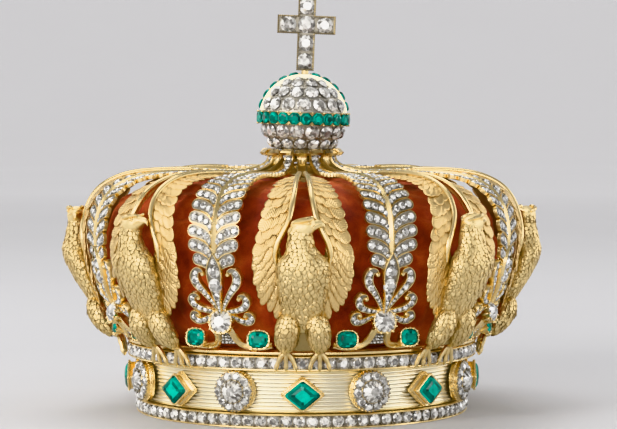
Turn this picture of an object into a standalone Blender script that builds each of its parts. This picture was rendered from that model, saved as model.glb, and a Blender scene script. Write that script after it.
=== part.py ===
"""A jewelled imperial crown: a ribbed circlet with two stone-set rims, eight eagles whose raised wings
alternate with eight palmette arches, a velvet cap inside them, and an orb and cross screwed on top.

Metres, +Z up. The origin is the centre of the circlet's foot, and the front eagle faces -Y.
Every piece that repeats round the crown is designed at the front and then turned about Z.
"""
import math

import bmesh
import bpy
from mathutils import Matrix, Vector

MM = 0.001

# Driving dimensions. Profiles further down are in millimetres.
ARCH_COUNT = 8                 # eagles, with as many palmettes between them
RING_STEPS = 48
CAP_STEPS = 24
ORB_STEPS = 20
GAP = 0.3                      # mm left between pieces that are soldered or screwed together

BAND_OUTER = 50.6              # radius of the circlet's ribbed band
BAND_INNER = 49.4
LOWER_RIM_OUTER = 51.7
UPPER_RIM_OUTER = 54.3
LOWER_RIM_TOP = 4.4
UPPER_RIM_BOTTOM = 17.4
UPPER_RIM_TOP = 21.8
LEDGE_TOP = 23.6
SETTING_HEIGHT = 11.0          # height of the middle of the band's settings
SETTING_DEPTH = 3.5            # how far their stones stand out from the band

ARCH_THICKNESS = 1.2
BIRD_LEG_SPREAD = 4.9

ORB_CENTRE = 90.8
ORB_RADIUS = 13.1
ORB_BELT_RADIUS = 14.6
ORB_BELT_HALF_HEIGHT = 1.95
CROSS_PITCH = 5.7              # spacing of the stones in the cross
CROSS_DEPTH = 3.4
STUD_RADIUS = 1.25
STUD_FOOT = 70.7
FINIAL_SEAT = 77.2             # where the orb's collar stands on the crossing boss
BOSS_BOTTOM = 73.0
FINIAL_LEAN = 2.0              # degrees that the orb and cross lean to the wearer's left

# The run of every arch from the ledge, out over the cap, in to the crossing and up into a small curl.
ARCH_PROFILE = [
    (54.5, 24.0), (57.5, 29.0), (61.0, 35.0), (64.5, 43.0), (66.4, 51.0), (66.7, 58.0), (65.0, 64.5),
    (61.2, 69.3), (54.4, 72.4), (45.0, 73.6), (34.0, 73.7), (24.0, 73.4), (16.2, 74.2), (11.5, 76.1),
    (9.9, 78.2), (10.3, 80.1), (11.7, 80.9), (12.9, 79.9),
]
# Half widths in millimetres at distances run along the arch from its foot.
WING_OUTER_EDGE = [
    (10, 5.5), (14, 9.0), (19, 12.0), (24, 13.5), (30, 13.7), (36, 12.8), (43, 10.9), (50, 9.2),
    (58, 7.2), (66, 4.3), (73, 2.8), (85, 1.9), (96, 1.4), (101, 1.1), (105, 1.2), (111, 1.9),
]
WING_INNER_EDGE = [
    (10, 0.0), (31, 0.0), (33.5, 6.6), (36, 5.4), (40, 3.5), (45, 2.5), (52, 1.7), (60, 0.9),
    (66, 0.0), (111, 0.0),
]
LEAF_EDGE = [
    (13, 1.0), (18, 1.9), (23, 3.2), (25, 5.2), (29, 6.6), (34, 7.6), (40, 7.7), (46, 6.9), (52, 6.0),
    (60, 4.9), (68, 3.8), (78, 2.6), (88, 1.9), (96, 1.5), (102, 1.1), (106, 1.1), (111, 1.5),
]
# Centre lines of the honeysuckle scrolls: across and along the arch, with the scroll's half width.
SCROLLS = [
    [(0.2, 16.6, 0.8), (4.4, 18.7, 1.0), (7.0, 23.0, 1.2), (5.2, 26.4, 1.1)],
    [(0.2, 14.7, 0.7), (5.4, 14.6, 1.0), (9.0, 16.2, 1.2), (8.2, 19.2, 1.1)],
    [(0.2, 13.7, 0.7), (4.8, 11.2, 0.9), (8.4, 10.6, 1.1), (8.2, 13.2, 1.0)],
]


def clear_scene():
    for obj in list(bpy.data.objects):
        bpy.data.objects.remove(obj)


def make_collection(name):
    collection = bpy.data.collections.new(name)
    bpy.context.scene.collection.children.link(collection)
    return collection


def make_material(name, colour, roughness, metallic):
    material = bpy.data.materials.new(name)
    material.use_nodes = True
    shader = material.node_tree.nodes["Principled BSDF"]
    shader.inputs["Base Color"].default_value = (*colour, 1.0)
    shader.inputs["Roughness"].default_value = roughness
    shader.inputs["Metallic"].default_value = metallic
    material.diffuse_color = (*colour, 1.0)
    return material


# ---------------------------------------------------------------- curves and interpolation

def value_at(stops, distance):
    """The width at a distance along the arch, read straight between the stops."""
    for (low, first), (high, second) in zip(stops, stops[1:]):
        if distance <= high:
            share = max(0.0, (distance - low) / (high - low))
            return first + (second - first) * share
    return stops[-1][1]


def smooth_line(points, steps):
    """A Catmull-Rom curve through the points, with so many steps between each two."""
    ends = [points[0], *points, points[-1]]
    line = []
    for before, start, end, after in zip(ends, ends[1:], ends[2:], ends[3:]):
        for step in range(steps):
            t = step / steps
            line.append(tuple(
                0.5 * (2 * b + (c - a) * t + (2 * a - 5 * b + 4 * c - d) * t * t
                       + (3 * b - a - 3 * c + d) * t ** 3)
                for a, b, c, d in zip(before, start, end, after)))
    line.append(tuple(points[-1]))
    return line


class ArchLine:
    """The arch's profile, measured by the distance run along it in millimetres."""

    def __init__(self, profile):
        self.points = [Vector(p) for p in smooth_line(profile, 6)]
        self.runs = [0.0]
        for first, second in zip(self.points, self.points[1:]):
            self.runs.append(self.runs[-1] + (second - first).length)

    def at(self, distance):
        """(radius, height) and the outward unit normal at that distance."""
        index = 1
        while index < len(self.runs) - 1 and self.runs[index] < distance:
            index += 1
        first, second = self.points[index - 1], self.points[index]
        share = (distance - self.runs[index - 1]) / (self.runs[index] - self.runs[index - 1])
        along = (second - first).normalized()
        return first.lerp(second, share), Vector((along.y, -along.x))

    def place(self, across, distance, lift=0.0):
        """A point of the front arch in metres: across it, along it and lifted off it."""
        place, normal = self.at(distance)
        place = place + normal * lift
        return Vector((across, -place.x, place.y)) * MM


ARCH = ArchLine(ARCH_PROFILE)


# ---------------------------------------------------------------- mesh helpers

def new_object(name, mesh, material, collection):
    obj = bpy.data.objects.new(name, mesh)
    if material is not None:
        mesh.materials.clear()
        mesh.materials.append(material)
    collection.objects.link(obj)
    return obj


def mesh_of(obj):
    """The object's evaluated mesh in world space, its caps welded. The object is removed."""
    bpy.context.view_layer.update()
    graph = bpy.context.evaluated_depsgraph_get()
    mesh = bpy.data.meshes.new_from_object(obj.evaluated_get(graph))
    mesh.transform(obj.matrix_world)
    bpy.data.objects.remove(obj)
    weld(mesh)
    return mesh


def weld(mesh, distance=0.002 * MM):
    shape = bmesh.new()
    shape.from_mesh(mesh)
    bmesh.ops.remove_doubles(shape, verts=shape.verts, dist=distance)
    bmesh.ops.recalc_face_normals(shape, faces=shape.faces)
    shape.to_mesh(mesh)
    shape.free()


def turned_mesh(name, profile, steps, closed):
    """A profile of (radius, height) in mm, turned about Z. It runs down its outer side."""
    shape = bmesh.new()
    verts = [shape.verts.new((radius * MM, 0.0, height * MM)) for radius, height in profile]
    for first, second in zip(verts, verts[1:]):
        shape.edges.new((first, second))
    if closed:
        shape.edges.new((verts[-1], verts[0]))
    mesh = bpy.data.meshes.new(name)
    shape.to_mesh(mesh)
    shape.free()
    obj = new_object(name, mesh, None, bpy.context.scene.collection)
    screw = obj.modifiers.new("Turn", "SCREW")
    screw.steps = screw.render_steps = steps
    screw.use_merge_vertices = True
    screw.merge_threshold = 0.00001
    screw.use_smooth_shade = False
    return mesh_of(obj)


def tube_mesh(name, points, radii, sides):
    """A curve with a bevel through points in metres, its radius in mm changing from point to point."""
    curve = bpy.data.curves.new(name, "CURVE")
    curve.dimensions = "3D"
    curve.bevel_depth = MM
    curve.bevel_resolution = max(0, sides // 2 - 2)
    curve.use_fill_caps = True
    spline = curve.splines.new("POLY")
    spline.points.add(len(points) - 1)
    for knot, place, radius in zip(spline.points, points, radii):
        knot.co = (*place, 1.0)
        knot.radius = radius
    obj = new_object(name, curve, None, bpy.context.scene.collection)
    return mesh_of(obj)


def ellipsoid_mesh(name, centre, radii, tilt=0.0, segments=6, rings=5):
    """A ball stretched to three radii in mm, tilted about X, at a centre in mm."""
    shape = bmesh.new()
    bmesh.ops.create_uvsphere(shape, u_segments=segments, v_segments=rings, radius=MM)
    placed = (Matrix.Translation(Vector(centre) * MM) @ Matrix.Rotation(tilt, 4, "X")
              @ Matrix.Diagonal((*radii, 1.0)))
    bmesh.ops.transform(shape, matrix=placed, verts=shape.verts)
    mesh = bpy.data.meshes.new(name)
    shape.to_mesh(mesh)
    shape.free()
    return mesh


def box_mesh(name, centre, size):
    shape = bmesh.new()
    bmesh.ops.create_cube(shape, size=1.0)
    placed = Matrix.Translation(Vector(centre) * MM) @ Matrix.Diagonal((*[s * MM for s in size], 1.0))
    bmesh.ops.transform(shape, matrix=placed, verts=shape.verts)
    mesh = bpy.data.meshes.new(name)
    shape.to_mesh(mesh)
    shape.free()
    return mesh


def combine(name, meshes, operation="UNION"):
    """One closed mesh from several, by the Boolean modifier."""
    base = new_object(name, meshes[0], None, bpy.context.scene.collection)
    tools = [new_object(name + "_tool", mesh, None, bpy.context.scene.collection) for mesh in meshes[1:]]
    for tool in tools:
        cut = base.modifiers.new("Join", "BOOLEAN")
        cut.operation = operation
        cut.object = tool
        cut.solver = "EXACT"
    mesh = mesh_of(base)
    for tool in tools:
        bpy.data.objects.remove(tool)
    return mesh


def plate_mesh(name, outer_edge, inner_edge, distances, thickness, first_across=0.0):
    """A curved plate on the arch, mirrored about its middle, open where the inner edge leaves it."""
    shape = bmesh.new()
    rows = []
    for distance in distances:
        inner = value_at(inner_edge, distance) if inner_edge else first_across
        outer = value_at(outer_edge, distance)
        rows.append([shape.verts.new(ARCH.place(across, distance)) for across in (inner, outer)])
    for (inner, outer), (inner_next, outer_next) in zip(rows, rows[1:]):
        shape.faces.new((inner, outer, outer_next, inner_next))
    mesh = bpy.data.meshes.new(name)
    shape.to_mesh(mesh)
    shape.free()
    obj = new_object(name, mesh, None, bpy.context.scene.collection)
    mirror = obj.modifiers.new("Mirror", "MIRROR")
    mirror.merge_threshold = 0.00001
    solid = obj.modifiers.new("Solidify", "SOLIDIFY")
    solid.thickness = thickness * MM
    solid.offset = 0.0
    return mesh_of(obj)


def facing_out(mesh, radius, height, angle=0.0):
    """Turns a piece made about Z to face -Y at that radius and height, then turns it about the crown."""
    mesh.transform(Matrix.Rotation(angle, 4, "Z")
                   @ Matrix.Translation(Vector((0.0, -radius, height)) * MM)
                   @ Matrix.Rotation(math.pi / 2, 4, "X"))
    return mesh


def round_the_crown(name, mesh, material, collection, first_angle=0.0):
    """A copy of the piece for each arch, numbered from the front towards +X."""
    for number in range(ARCH_COUNT):
        obj = new_object(f"{name}_{number + 1}", mesh, material, collection)
        obj.rotation_euler.z = first_angle + number * math.tau / ARCH_COUNT


# ---------------------------------------------------------------- circlet

def build_circlet(crown, gold, stone_gold, lining_leather):
    """The band, its two rims, the ledge that the arches stand on, and the leather headband."""
    band = [(BAND_OUTER, UPPER_RIM_BOTTOM - GAP), (BAND_OUTER, LOWER_RIM_TOP + GAP),
            (BAND_INNER, LOWER_RIM_TOP + GAP), (BAND_INNER, UPPER_RIM_BOTTOM - GAP)]
    lower = [(LOWER_RIM_OUTER, LOWER_RIM_TOP), (LOWER_RIM_OUTER, 0.0),
             (BAND_INNER, 0.0), (BAND_INNER, LOWER_RIM_TOP)]
    upper = [(UPPER_RIM_OUTER, UPPER_RIM_TOP), (UPPER_RIM_OUTER, UPPER_RIM_BOTTOM),
             (BAND_INNER, UPPER_RIM_BOTTOM), (BAND_INNER, UPPER_RIM_TOP)]
    ledge = [(UPPER_RIM_OUTER, LEDGE_TOP), (UPPER_RIM_OUTER + 0.5, UPPER_RIM_TOP + GAP),
             (BAND_INNER, UPPER_RIM_TOP + GAP), (BAND_INNER, LEDGE_TOP)]
    strip_outer = BAND_INNER - GAP
    headband = [(strip_outer, UPPER_RIM_TOP), (strip_outer, 1.0),
                (strip_outer - 1.2, 1.0), (strip_outer - 1.2, UPPER_RIM_TOP)]
    pieces = [("circlet_band", band, gold), ("lower_stone_rim", lower, stone_gold),
              ("upper_stone_rim", upper, stone_gold), ("arch_ledge", ledge, gold),
              ("leather_headband", headband, lining_leather)]
    for name, profile, material in pieces:
        new_object(name, turned_mesh(name, profile, RING_STEPS, closed=True), material, crown)


def build_settings(crown, diamond, emerald):
    """Round diamond clusters and lozenge emeralds, each in a stepped box setting on the band."""
    foot = BAND_OUTER + GAP
    cluster = [(0.0, SETTING_DEPTH + 0.7), (3.2, SETTING_DEPTH + 0.3), (5.4, SETTING_DEPTH - 0.5),
               (6.1, 1.2), (6.1, 0.0), (0.0, 0.0)]
    mesh = turned_mesh("cluster", cluster, 12, closed=False)
    round_the_crown("diamond_cluster", facing_out(mesh, foot, SETTING_HEIGHT), diamond, crown,
                    math.pi / ARCH_COUNT)
    lozenge = [(0.0, SETTING_DEPTH), (3.2, SETTING_DEPTH), (4.5, SETTING_DEPTH - 0.6),
               (4.7, 1.6), (5.4, 1.4), (5.6, 0.0), (0.0, 0.0)]
    mesh = turned_mesh("lozenge", lozenge, 4, closed=False)
    mesh.transform(Matrix.Diagonal((1.16, 0.98, 1.0, 1.0)))
    round_the_crown("emerald_lozenge", facing_out(mesh, foot, SETTING_HEIGHT), emerald, crown)


# ---------------------------------------------------------------- arches

def bird_body_mesh():
    """Breast, neck and head as one swelling tube, wider than it is deep, with a hooked beak."""
    spine = [(-62.6, 31.5), (-66.0, 38.0), (-69.3, 45.0), (-70.5, 50.5), (-70.7, 55.5), (-70.5, 61.5),
             (-69.9, 64.8)]
    radii = [2.2, 4.6, 5.6, 4.9, 3.4, 2.8, 2.1]
    points = [Vector((0.0, y, z)) * MM for y, z in spine]
    body = tube_mesh("bird_body", points, radii, 6)
    widen = 1.32
    body.transform(Matrix.Diagonal((widen, 1.0, 1.0, 1.0)))
    beak_line = [(0.5, -70.2, 63.0), (3.8, -70.6, 62.8), (5.8, -70.6, 60.9)]
    beak = tube_mesh("bird_beak", [Vector(p) * MM for p in beak_line], [1.8, 1.2, 0.4], 4)
    return body, beak


def bird_leg_meshes(side):
    """A feathered thigh, a short shank and three toes that lie over the upper rim."""
    across = side * BIRD_LEG_SPREAD
    thigh = ellipsoid_mesh("thigh", (across * 0.96, -62.0, 30.2), (3.7, 3.6, 6.0), math.radians(-32))
    rest = UPPER_RIM_OUTER + GAP + 1.1
    shank_line = [Vector((across, -60.6, 27.0)) * MM, Vector((across, -rest - 1.4, 22.6)) * MM]
    parts = [thigh, tube_mesh("shank", shank_line, [1.2, 1.1], 4)]
    for spread in (-2.9, 0.0, 2.9):
        line = [(across + spread * 0.3, -rest - 1.1, 23.3), (across + spread, -rest, 17.9)]
        parts.append(tube_mesh("toe", [Vector(p) * MM for p in line], [1.1, 0.7], 4))
    return parts


def build_eagles(crown, gold):
    """An eagle in the round, standing on the rim in front of two raised wings that form an arch."""
    distances = [10, 14, 19, 25, 31, 33.5, 37, 42, 48, 57, 66, 79, 92, 100, 104, 107.5, 111]
    wings = plate_mesh("wings", WING_OUTER_EDGE, WING_INNER_EDGE, distances, ARCH_THICKNESS)
    body, beak = bird_body_mesh()
    parts = [wings, body, beak, *bird_leg_meshes(-1), *bird_leg_meshes(1)]
    round_the_crown("eagle", combine("eagle", parts), gold, crown)


def build_palmettes(crown, stone_gold):
    """A feathered leaf over a honeysuckle of scrolls, on the arch between two eagles."""
    distances = [13, 18, 23, 25, 30, 37, 45, 55, 66, 79, 92, 100, 104, 107.5, 111]
    parts = [plate_mesh("leaf", LEAF_EDGE, None, distances, ARCH_THICKNESS)]
    for line in SCROLLS:
        for side in (-1, 1):
            points = [ARCH.place(side * across, distance) for across, distance, _ in line]
            parts.append(tube_mesh("scroll", points, [half for _, _, half in line], 4))
    round_the_crown("palmette", combine("palmette", parts), stone_gold, crown, math.pi / ARCH_COUNT)


def build_palmette_feet(crown, gold):
    """The forked foot under each palmette: one large diamond collet and two emerald collets."""
    fork = [(11.2, 55.0, 24.8), (7.0, 55.2, 24.8), (3.4, 56.6, 26.0), (1.9, 59.6, 29.4)]
    parts = []
    for side in (-1, 1):
        line = [Vector((side * x, -math.sqrt(y * y - x * x), z)) * MM for x, y, z in fork]
        parts.append(tube_mesh("fork", line, [0.9, 0.9, 1.0, 1.1], 4))
        collet = [(0.0, 1.6), (2.2, 1.5), (2.9, 0.8), (2.3, -2.0), (0.0, -2.0)]
        stone = turned_mesh("emerald_collet", collet, 8, closed=False)
        parts.append(facing_out(stone, 57.2, 27.2, side * math.radians(9.8)))
    collet = [(0.0, 2.0), (2.4, 1.9), (3.4, 1.1), (3.0, -1.8), (0.0, -1.8)]
    parts.append(facing_out(turned_mesh("diamond_collet", collet, 8, closed=False), 61.3, 31.0))
    round_the_crown("palmette_foot", combine("palmette_foot", parts), gold, crown, math.pi / ARCH_COUNT)


# ---------------------------------------------------------------- cap and crossing

def build_cap(crown, velvet):
    """The velvet cap, a thin dome whose skirt goes down inside the headband."""
    skirt = BAND_INNER - GAP - 1.2 - GAP
    wall = 1.8
    outer = [(0.0, 70.0), (40.0, 69.3), (52.0, 66.8), (58.6, 61.4), (61.3, 53.0), (60.6, 44.5),
             (57.2, 35.0), (52.6, 28.0), (48.4, 24.4), (skirt, 22.2), (skirt, 8.0)]
    inner = [(skirt - wall, 8.0), (skirt - wall, 22.8), (50.8, 29.0), (58.6, 44.9), (59.3, 52.8),
             (57.0, 60.2), (51.0, 65.1), (39.8, 67.5), (0.0, 68.2)]
    mesh = turned_mesh("velvet_cap", outer + inner, CAP_STEPS, closed=False)
    new_object("velvet_cap", mesh, velvet, crown)


def build_crossing(crown, gold):
    """The boss that all sixteen arms meet round, with a bore for the orb's stud."""
    bore = STUD_RADIUS + 0.55
    top = FINIAL_SEAT - 2 * GAP
    boss = [(bore, top), (8.2, top), (9.8, 75.4), (12.6, BOSS_BOTTOM + 0.6), (12.6, BOSS_BOTTOM),
            (bore, BOSS_BOTTOM)]
    new_object("crossing_boss", turned_mesh("crossing_boss", boss, 16, closed=True), gold, crown)


# ---------------------------------------------------------------- finial

def shell_profile(start, end, radius, bore, wall=1.0, steps=4):
    """A ball shell between two angles above the equator, open at both ends, on its outer side first."""
    angles = [math.radians(start + (end - start) * step / steps) for step in range(steps + 1)]
    outer = [(radius * math.cos(a), radius * math.sin(a)) for a in angles]
    inner = [((radius - wall) * math.cos(a), (radius - wall) * math.sin(a)) for a in reversed(angles)]
    profile = [(max(x, bore), z) for x, z in outer + inner]
    return profile


def build_finial(crown, gold, diamond, emerald):
    """Orb, belts and cross on a threaded stud, about one axis that leans a little."""
    axis = bpy.data.objects.new("finial_axis", None)
    crown.objects.link(axis)
    axis.location = (0.0, 0.0, FINIAL_SEAT * MM)
    axis.rotation_euler.y = math.radians(FINIAL_LEAN)
    centre = ORB_CENTRE - FINIAL_SEAT
    bore = STUD_RADIUS + 0.35
    peg_radius = 1.1

    def add(name, mesh, material, lift=centre):
        mesh.transform(Matrix.Translation((0.0, 0.0, lift * MM)))
        new_object(name, mesh, material, crown).parent = axis

    belt_edge = math.degrees(math.asin((ORB_BELT_HALF_HEIGHT + GAP) / ORB_RADIUS))
    low_end = -math.degrees(math.acos(bore / ORB_RADIUS))
    lower = shell_profile(-belt_edge, low_end, ORB_RADIUS, bore)
    add("orb_lower_shell", turned_mesh("orb_lower", lower, ORB_STEPS, closed=True), diamond)
    upper = shell_profile(math.degrees(math.acos((peg_radius + 0.35) / ORB_RADIUS)), belt_edge,
                          ORB_RADIUS, peg_radius + 0.35)
    add("orb_upper_shell", turned_mesh("orb_upper", upper, ORB_STEPS, closed=True), diamond)
    half = ORB_BELT_HALF_HEIGHT
    belt = [(ORB_BELT_RADIUS, half), (ORB_BELT_RADIUS, -half), (ORB_RADIUS - 0.6, -half),
            (ORB_RADIUS - 0.6, half)]
    add("orb_emerald_belt", turned_mesh("belt", belt, ORB_STEPS, closed=True), emerald)
    add("orb_emerald_bow", bow_mesh(peg_radius), emerald)

    foot = ORB_BELT_RADIUS + GAP
    middle = foot + CROSS_PITCH * 2.5
    bar = box_mesh("cross_bar", (0, 0, foot + CROSS_PITCH * 2), (5.4, CROSS_DEPTH, CROSS_PITCH * 4))
    arms = box_mesh("cross_arms", (0, 0, middle), (CROSS_PITCH * 3 + 1.0, CROSS_DEPTH - 0.2, 5.6))
    peg = turned_mesh("cross_peg", [(0, foot + 1), (peg_radius, foot + 1), (peg_radius, ORB_RADIUS - 3),
                                    (0, ORB_RADIUS - 3)], 10, closed=False)
    add("cross", combine("cross", [bar, arms, peg]), diamond)

    stud_top = -ORB_RADIUS + 4.5 + centre
    stud = [(0.0, stud_top), (STUD_RADIUS, stud_top), (STUD_RADIUS, STUD_FOOT - FINIAL_SEAT),
            (0.0, STUD_FOOT - FINIAL_SEAT)]
    add("orb_stud", turned_mesh("stud", stud, 12, closed=False), gold, 0.0)
    hole = STUD_RADIUS + 0.35
    collar = [(4.6, 0.9), (4.6, 0.0), (hole, 0.0), (hole, 0.3)]
    add("orb_collar", turned_mesh("collar", collar, 16, closed=True), gold, 0.0)
    washer_top = BOSS_BOTTOM - FINIAL_SEAT - GAP
    washer = [(4.0, washer_top), (4.0, washer_top - 0.4), (hole, washer_top - 0.4), (hole, washer_top)]
    add("orb_washer", turned_mesh("washer", washer, 16, closed=True), gold, 0.0)
    nut_top = washer_top - 0.4 - GAP
    nut = [(2.9, nut_top), (2.9, nut_top - 0.9), (hole, nut_top - 0.9), (hole, nut_top)]
    add("orb_nut", turned_mesh("nut", nut, 6, closed=True), gold, 0.0)


def bow_mesh(peg_radius):
    """The half belt over the orb from ear to ear, with a hole for the cross's peg."""
    start = math.asin((ORB_BELT_HALF_HEIGHT + 2 * GAP) / ORB_RADIUS)
    steps = 12
    shape = bmesh.new()
    low, high, half_width = ORB_RADIUS + GAP, ORB_BELT_RADIUS, 1.6
    loops = []
    for step in range(steps + 1):
        angle = start + (math.pi - 2 * start) * step / steps
        ray = Vector((math.cos(angle), 0.0, math.sin(angle)))
        corners = [(low, -half_width), (high, -half_width), (high, half_width), (low, half_width)]
        loops.append([shape.verts.new((ray * r + Vector((0.0, y, 0.0))) * MM) for r, y in corners])
    for loop, following in zip(loops, loops[1:]):
        for i in range(4):
            shape.faces.new((loop[i], loop[(i + 1) % 4], following[(i + 1) % 4], following[i]))
    shape.faces.new(loops[0])
    shape.faces.new(reversed(loops[-1]))
    bmesh.ops.recalc_face_normals(shape, faces=shape.faces)
    mesh = bpy.data.meshes.new("bow")
    shape.to_mesh(mesh)
    shape.free()
    hole = turned_mesh("bow_hole", [(0, ORB_BELT_RADIUS + 2), (peg_radius + 0.35, ORB_BELT_RADIUS + 2),
                                    (peg_radius + 0.35, ORB_RADIUS - 2), (0, ORB_RADIUS - 2)], 10, closed=False)
    return combine("bow", [mesh, hole], "DIFFERENCE")


def main():
    clear_scene()
    crown = make_collection("crown")
    bright_gold = make_material("bright_gold", (0.90, 0.68, 0.32), 0.22, 1.0)
    chased_gold = make_material("chased_gold", (0.83, 0.60, 0.27), 0.38, 1.0)
    diamond = make_material("diamond_in_silver", (0.82, 0.83, 0.84), 0.12, 0.6)
    emerald = make_material("emerald", (0.0, 0.32, 0.20), 0.06, 0.0)
    velvet = make_material("red_velvet", (0.42, 0.07, 0.025), 0.85, 0.0)
    leather = make_material("lining_leather", (0.30, 0.15, 0.08), 0.7, 0.0)

    build_circlet(crown, bright_gold, diamond, leather)
    build_settings(crown, diamond, emerald)
    build_eagles(crown, chased_gold)
    build_palmettes(crown, diamond)
    build_palmette_feet(crown, bright_gold)
    build_cap(crown, velvet)
    build_crossing(crown, bright_gold)
    build_finial(crown, bright_gold, diamond, emerald)


main()
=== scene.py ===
import math
import random

import bmesh
import bpy
import numpy as np
from mathutils import Matrix, Vector, noise


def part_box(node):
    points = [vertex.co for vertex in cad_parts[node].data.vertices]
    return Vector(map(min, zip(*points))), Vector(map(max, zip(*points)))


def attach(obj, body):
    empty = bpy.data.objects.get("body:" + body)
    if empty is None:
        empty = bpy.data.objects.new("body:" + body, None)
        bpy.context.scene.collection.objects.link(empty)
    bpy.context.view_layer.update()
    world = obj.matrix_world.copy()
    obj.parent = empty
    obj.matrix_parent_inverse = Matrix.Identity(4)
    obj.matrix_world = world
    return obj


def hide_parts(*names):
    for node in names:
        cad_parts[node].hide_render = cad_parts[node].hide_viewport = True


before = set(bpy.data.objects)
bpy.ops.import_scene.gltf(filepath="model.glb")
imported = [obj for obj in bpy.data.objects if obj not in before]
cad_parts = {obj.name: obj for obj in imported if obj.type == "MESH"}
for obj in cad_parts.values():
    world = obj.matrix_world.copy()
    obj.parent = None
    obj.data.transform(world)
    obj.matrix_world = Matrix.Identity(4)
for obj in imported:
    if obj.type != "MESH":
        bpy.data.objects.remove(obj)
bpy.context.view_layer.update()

mm = 0.001
crownBody = "crown_frame"
orbBody = "finial"
armCount = 8
armTurn = math.tau / armCount

# The run of every arm of the crown, radius and height in mm, from the ledge up over the cap to its curl
archProfile = [(54.5, 24.0), (57.5, 29.0), (61.0, 35.0), (64.5, 43.0), (66.4, 51.0), (66.7, 58.0),
               (65.0, 64.5), (61.2, 69.3), (54.4, 72.4), (45.0, 73.6), (34.0, 73.7), (24.0, 73.4),
               (16.2, 74.2), (11.5, 76.1), (9.9, 78.2), (10.3, 80.1), (11.7, 80.9), (12.9, 79.9)]


def smoothLine(points, steps=8):   # Catmull-Rom through points with any number of values each
    points = np.array(points, float)
    ends = np.vstack([points[:1], points, points[-1:]])
    line = []
    for a, b, c, d in zip(ends, ends[1:], ends[2:], ends[3:]):
        for t in np.arange(steps) / steps:
            line.append(0.5 * (2 * b + (c - a) * t + (2 * a - 5 * b + 4 * c - d) * t ** 2
                               + (3 * b - a - 3 * c + d) * t ** 3))
    line.append(points[-1])
    return np.array(line)


def runsOf(line):   # distance from the start at each point of a line
    return np.concatenate([[0.0], np.cumsum(np.hypot(*np.diff(line[:, :2], axis=0).T))])


archLine = smoothLine(archProfile, 10)
archRun = runsOf(archLine)   # distance from the foot, mm
archAlong = np.gradient(archLine, archRun, axis=0)
archAlong /= np.hypot(*archAlong.T)[:, None]


def archSpot(flat):   # flat points (across, along, lift) in mm, laid on the front arm, in metres
    flat = np.atleast_2d(np.asarray(flat, float))
    radius, height, goingOut, goingUp = (
        np.interp(flat[:, 1], archRun, values) for values in (*archLine.T, *archAlong.T))
    radius = radius + goingUp * flat[:, 2]
    height = height - goingOut * flat[:, 2]
    return np.stack([flat[:, 0], -radius, height], axis=1) * mm


def stopsAt(stops, at):   # a width read straight between (distance, width) stops
    places, widths = zip(*sorted(stops))
    return float(np.interp(at, places, widths))


def placed(name, data):   # a new object in the scene
    obj = bpy.data.objects.new(name, data)
    bpy.context.scene.collection.objects.link(obj)
    return obj


def newMesh(name, shape, finish, corner=40):
    mesh = bpy.data.meshes.new(name)
    bmesh.ops.remove_doubles(shape, verts=shape.verts, dist=0.000001)
    bmesh.ops.recalc_face_normals(shape, faces=shape.faces)
    shape.to_mesh(mesh)
    shape.free()
    mesh.polygons.foreach_set("use_smooth", [True] * len(mesh.polygons))
    mesh.set_sharp_from_angle(angle=math.radians(corner))
    for material in finish if isinstance(finish, (list, tuple)) else [finish]:
        mesh.materials.append(material)
    return mesh


def addLoft(shape, rings, closedRun=False, unit=mm):   # rings of points in mm, each ring a closed loop
    loops = [[shape.verts.new([v * unit for v in point]) for point in ring] for ring in rings]
    pairs = list(zip(loops, loops[1:]))
    if closedRun:
        pairs.append((loops[-1], loops[0]))
    for one, two in pairs:
        for i in range(len(one)):
            j = (i + 1) % len(one)
            shape.faces.new((one[i], one[j], two[j], two[i]))
    if not closedRun:
        shape.faces.new(loops[0])
        shape.faces.new(loops[-1])
    return loops


def turned(name, profile, steps, finish, corner=35):   # a closed profile of (radius, height) in mm about Z
    shape = bmesh.new()
    rings = []
    for i in range(steps):
        c, s = math.cos(i * math.tau / steps), math.sin(i * math.tau / steps)
        rings.append([(r * c, r * s, z) for r, z in profile])
    addLoft(shape, rings, closedRun=True)
    return newMesh(name, shape, finish, corner=corner)


def addTube(shape, points, radii, sides=10):   # points in mm
    points = [Vector(p) for p in points]
    side = None
    rings = []
    for i, point in enumerate(points):
        way = (points[min(i + 1, len(points) - 1)] - points[max(i - 1, 0)]).normalized()
        if side is None:
            side = way.orthogonal().normalized()
        side = (side - way * side.dot(way)).normalized()
        other = way.cross(side)
        turns = [k * math.tau / sides for k in range(sides)]
        rings.append([point + (side * math.cos(a) + other * math.sin(a)) * float(radii[i]) for a in turns])
    addLoft(shape, rings)


def flatToMetres(mesh):   # lays a mesh modelled flat, in metres, onto the front arm
    flat = np.empty(len(mesh.vertices) * 3)
    mesh.vertices.foreach_get("co", flat)
    mesh.vertices.foreach_set("co", archSpot(flat.reshape(-1, 3) / mm).ravel())
    mesh.update()
    return mesh


def joined(name, meshes):   # one object from several meshes, each keeping its own materials
    objects = [placed(name, mesh) for mesh in meshes]
    with bpy.context.temp_override(active_object=objects[0], object=objects[0], selected_objects=objects,
                                   selected_editable_objects=objects):
        bpy.ops.object.join()
    objects[0].name = name
    return objects[0]


def madePiece(name, meshes, body, slot, *nodes):
    piece = joined(name, meshes)
    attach(piece, body)
    if nodes:
        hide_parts(*nodes)
    return piece


def roundTheCrown(name, meshes, slot, node, firstTurn=0.0):   # one piece for each arm, from the front to +X
    for number in range(armCount):
        turn = Matrix.Rotation(firstTurn + number * armTurn, 4, "Z")
        copies = [mesh.copy() for mesh in meshes]
        for mesh in copies:
            mesh.transform(turn)
        madePiece(f"{name}_{number + 1}", copies, crownBody, slot, f"{node}_{number + 1}")


def link(tree, source, target):
    tree.links.new(source, target)


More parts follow.
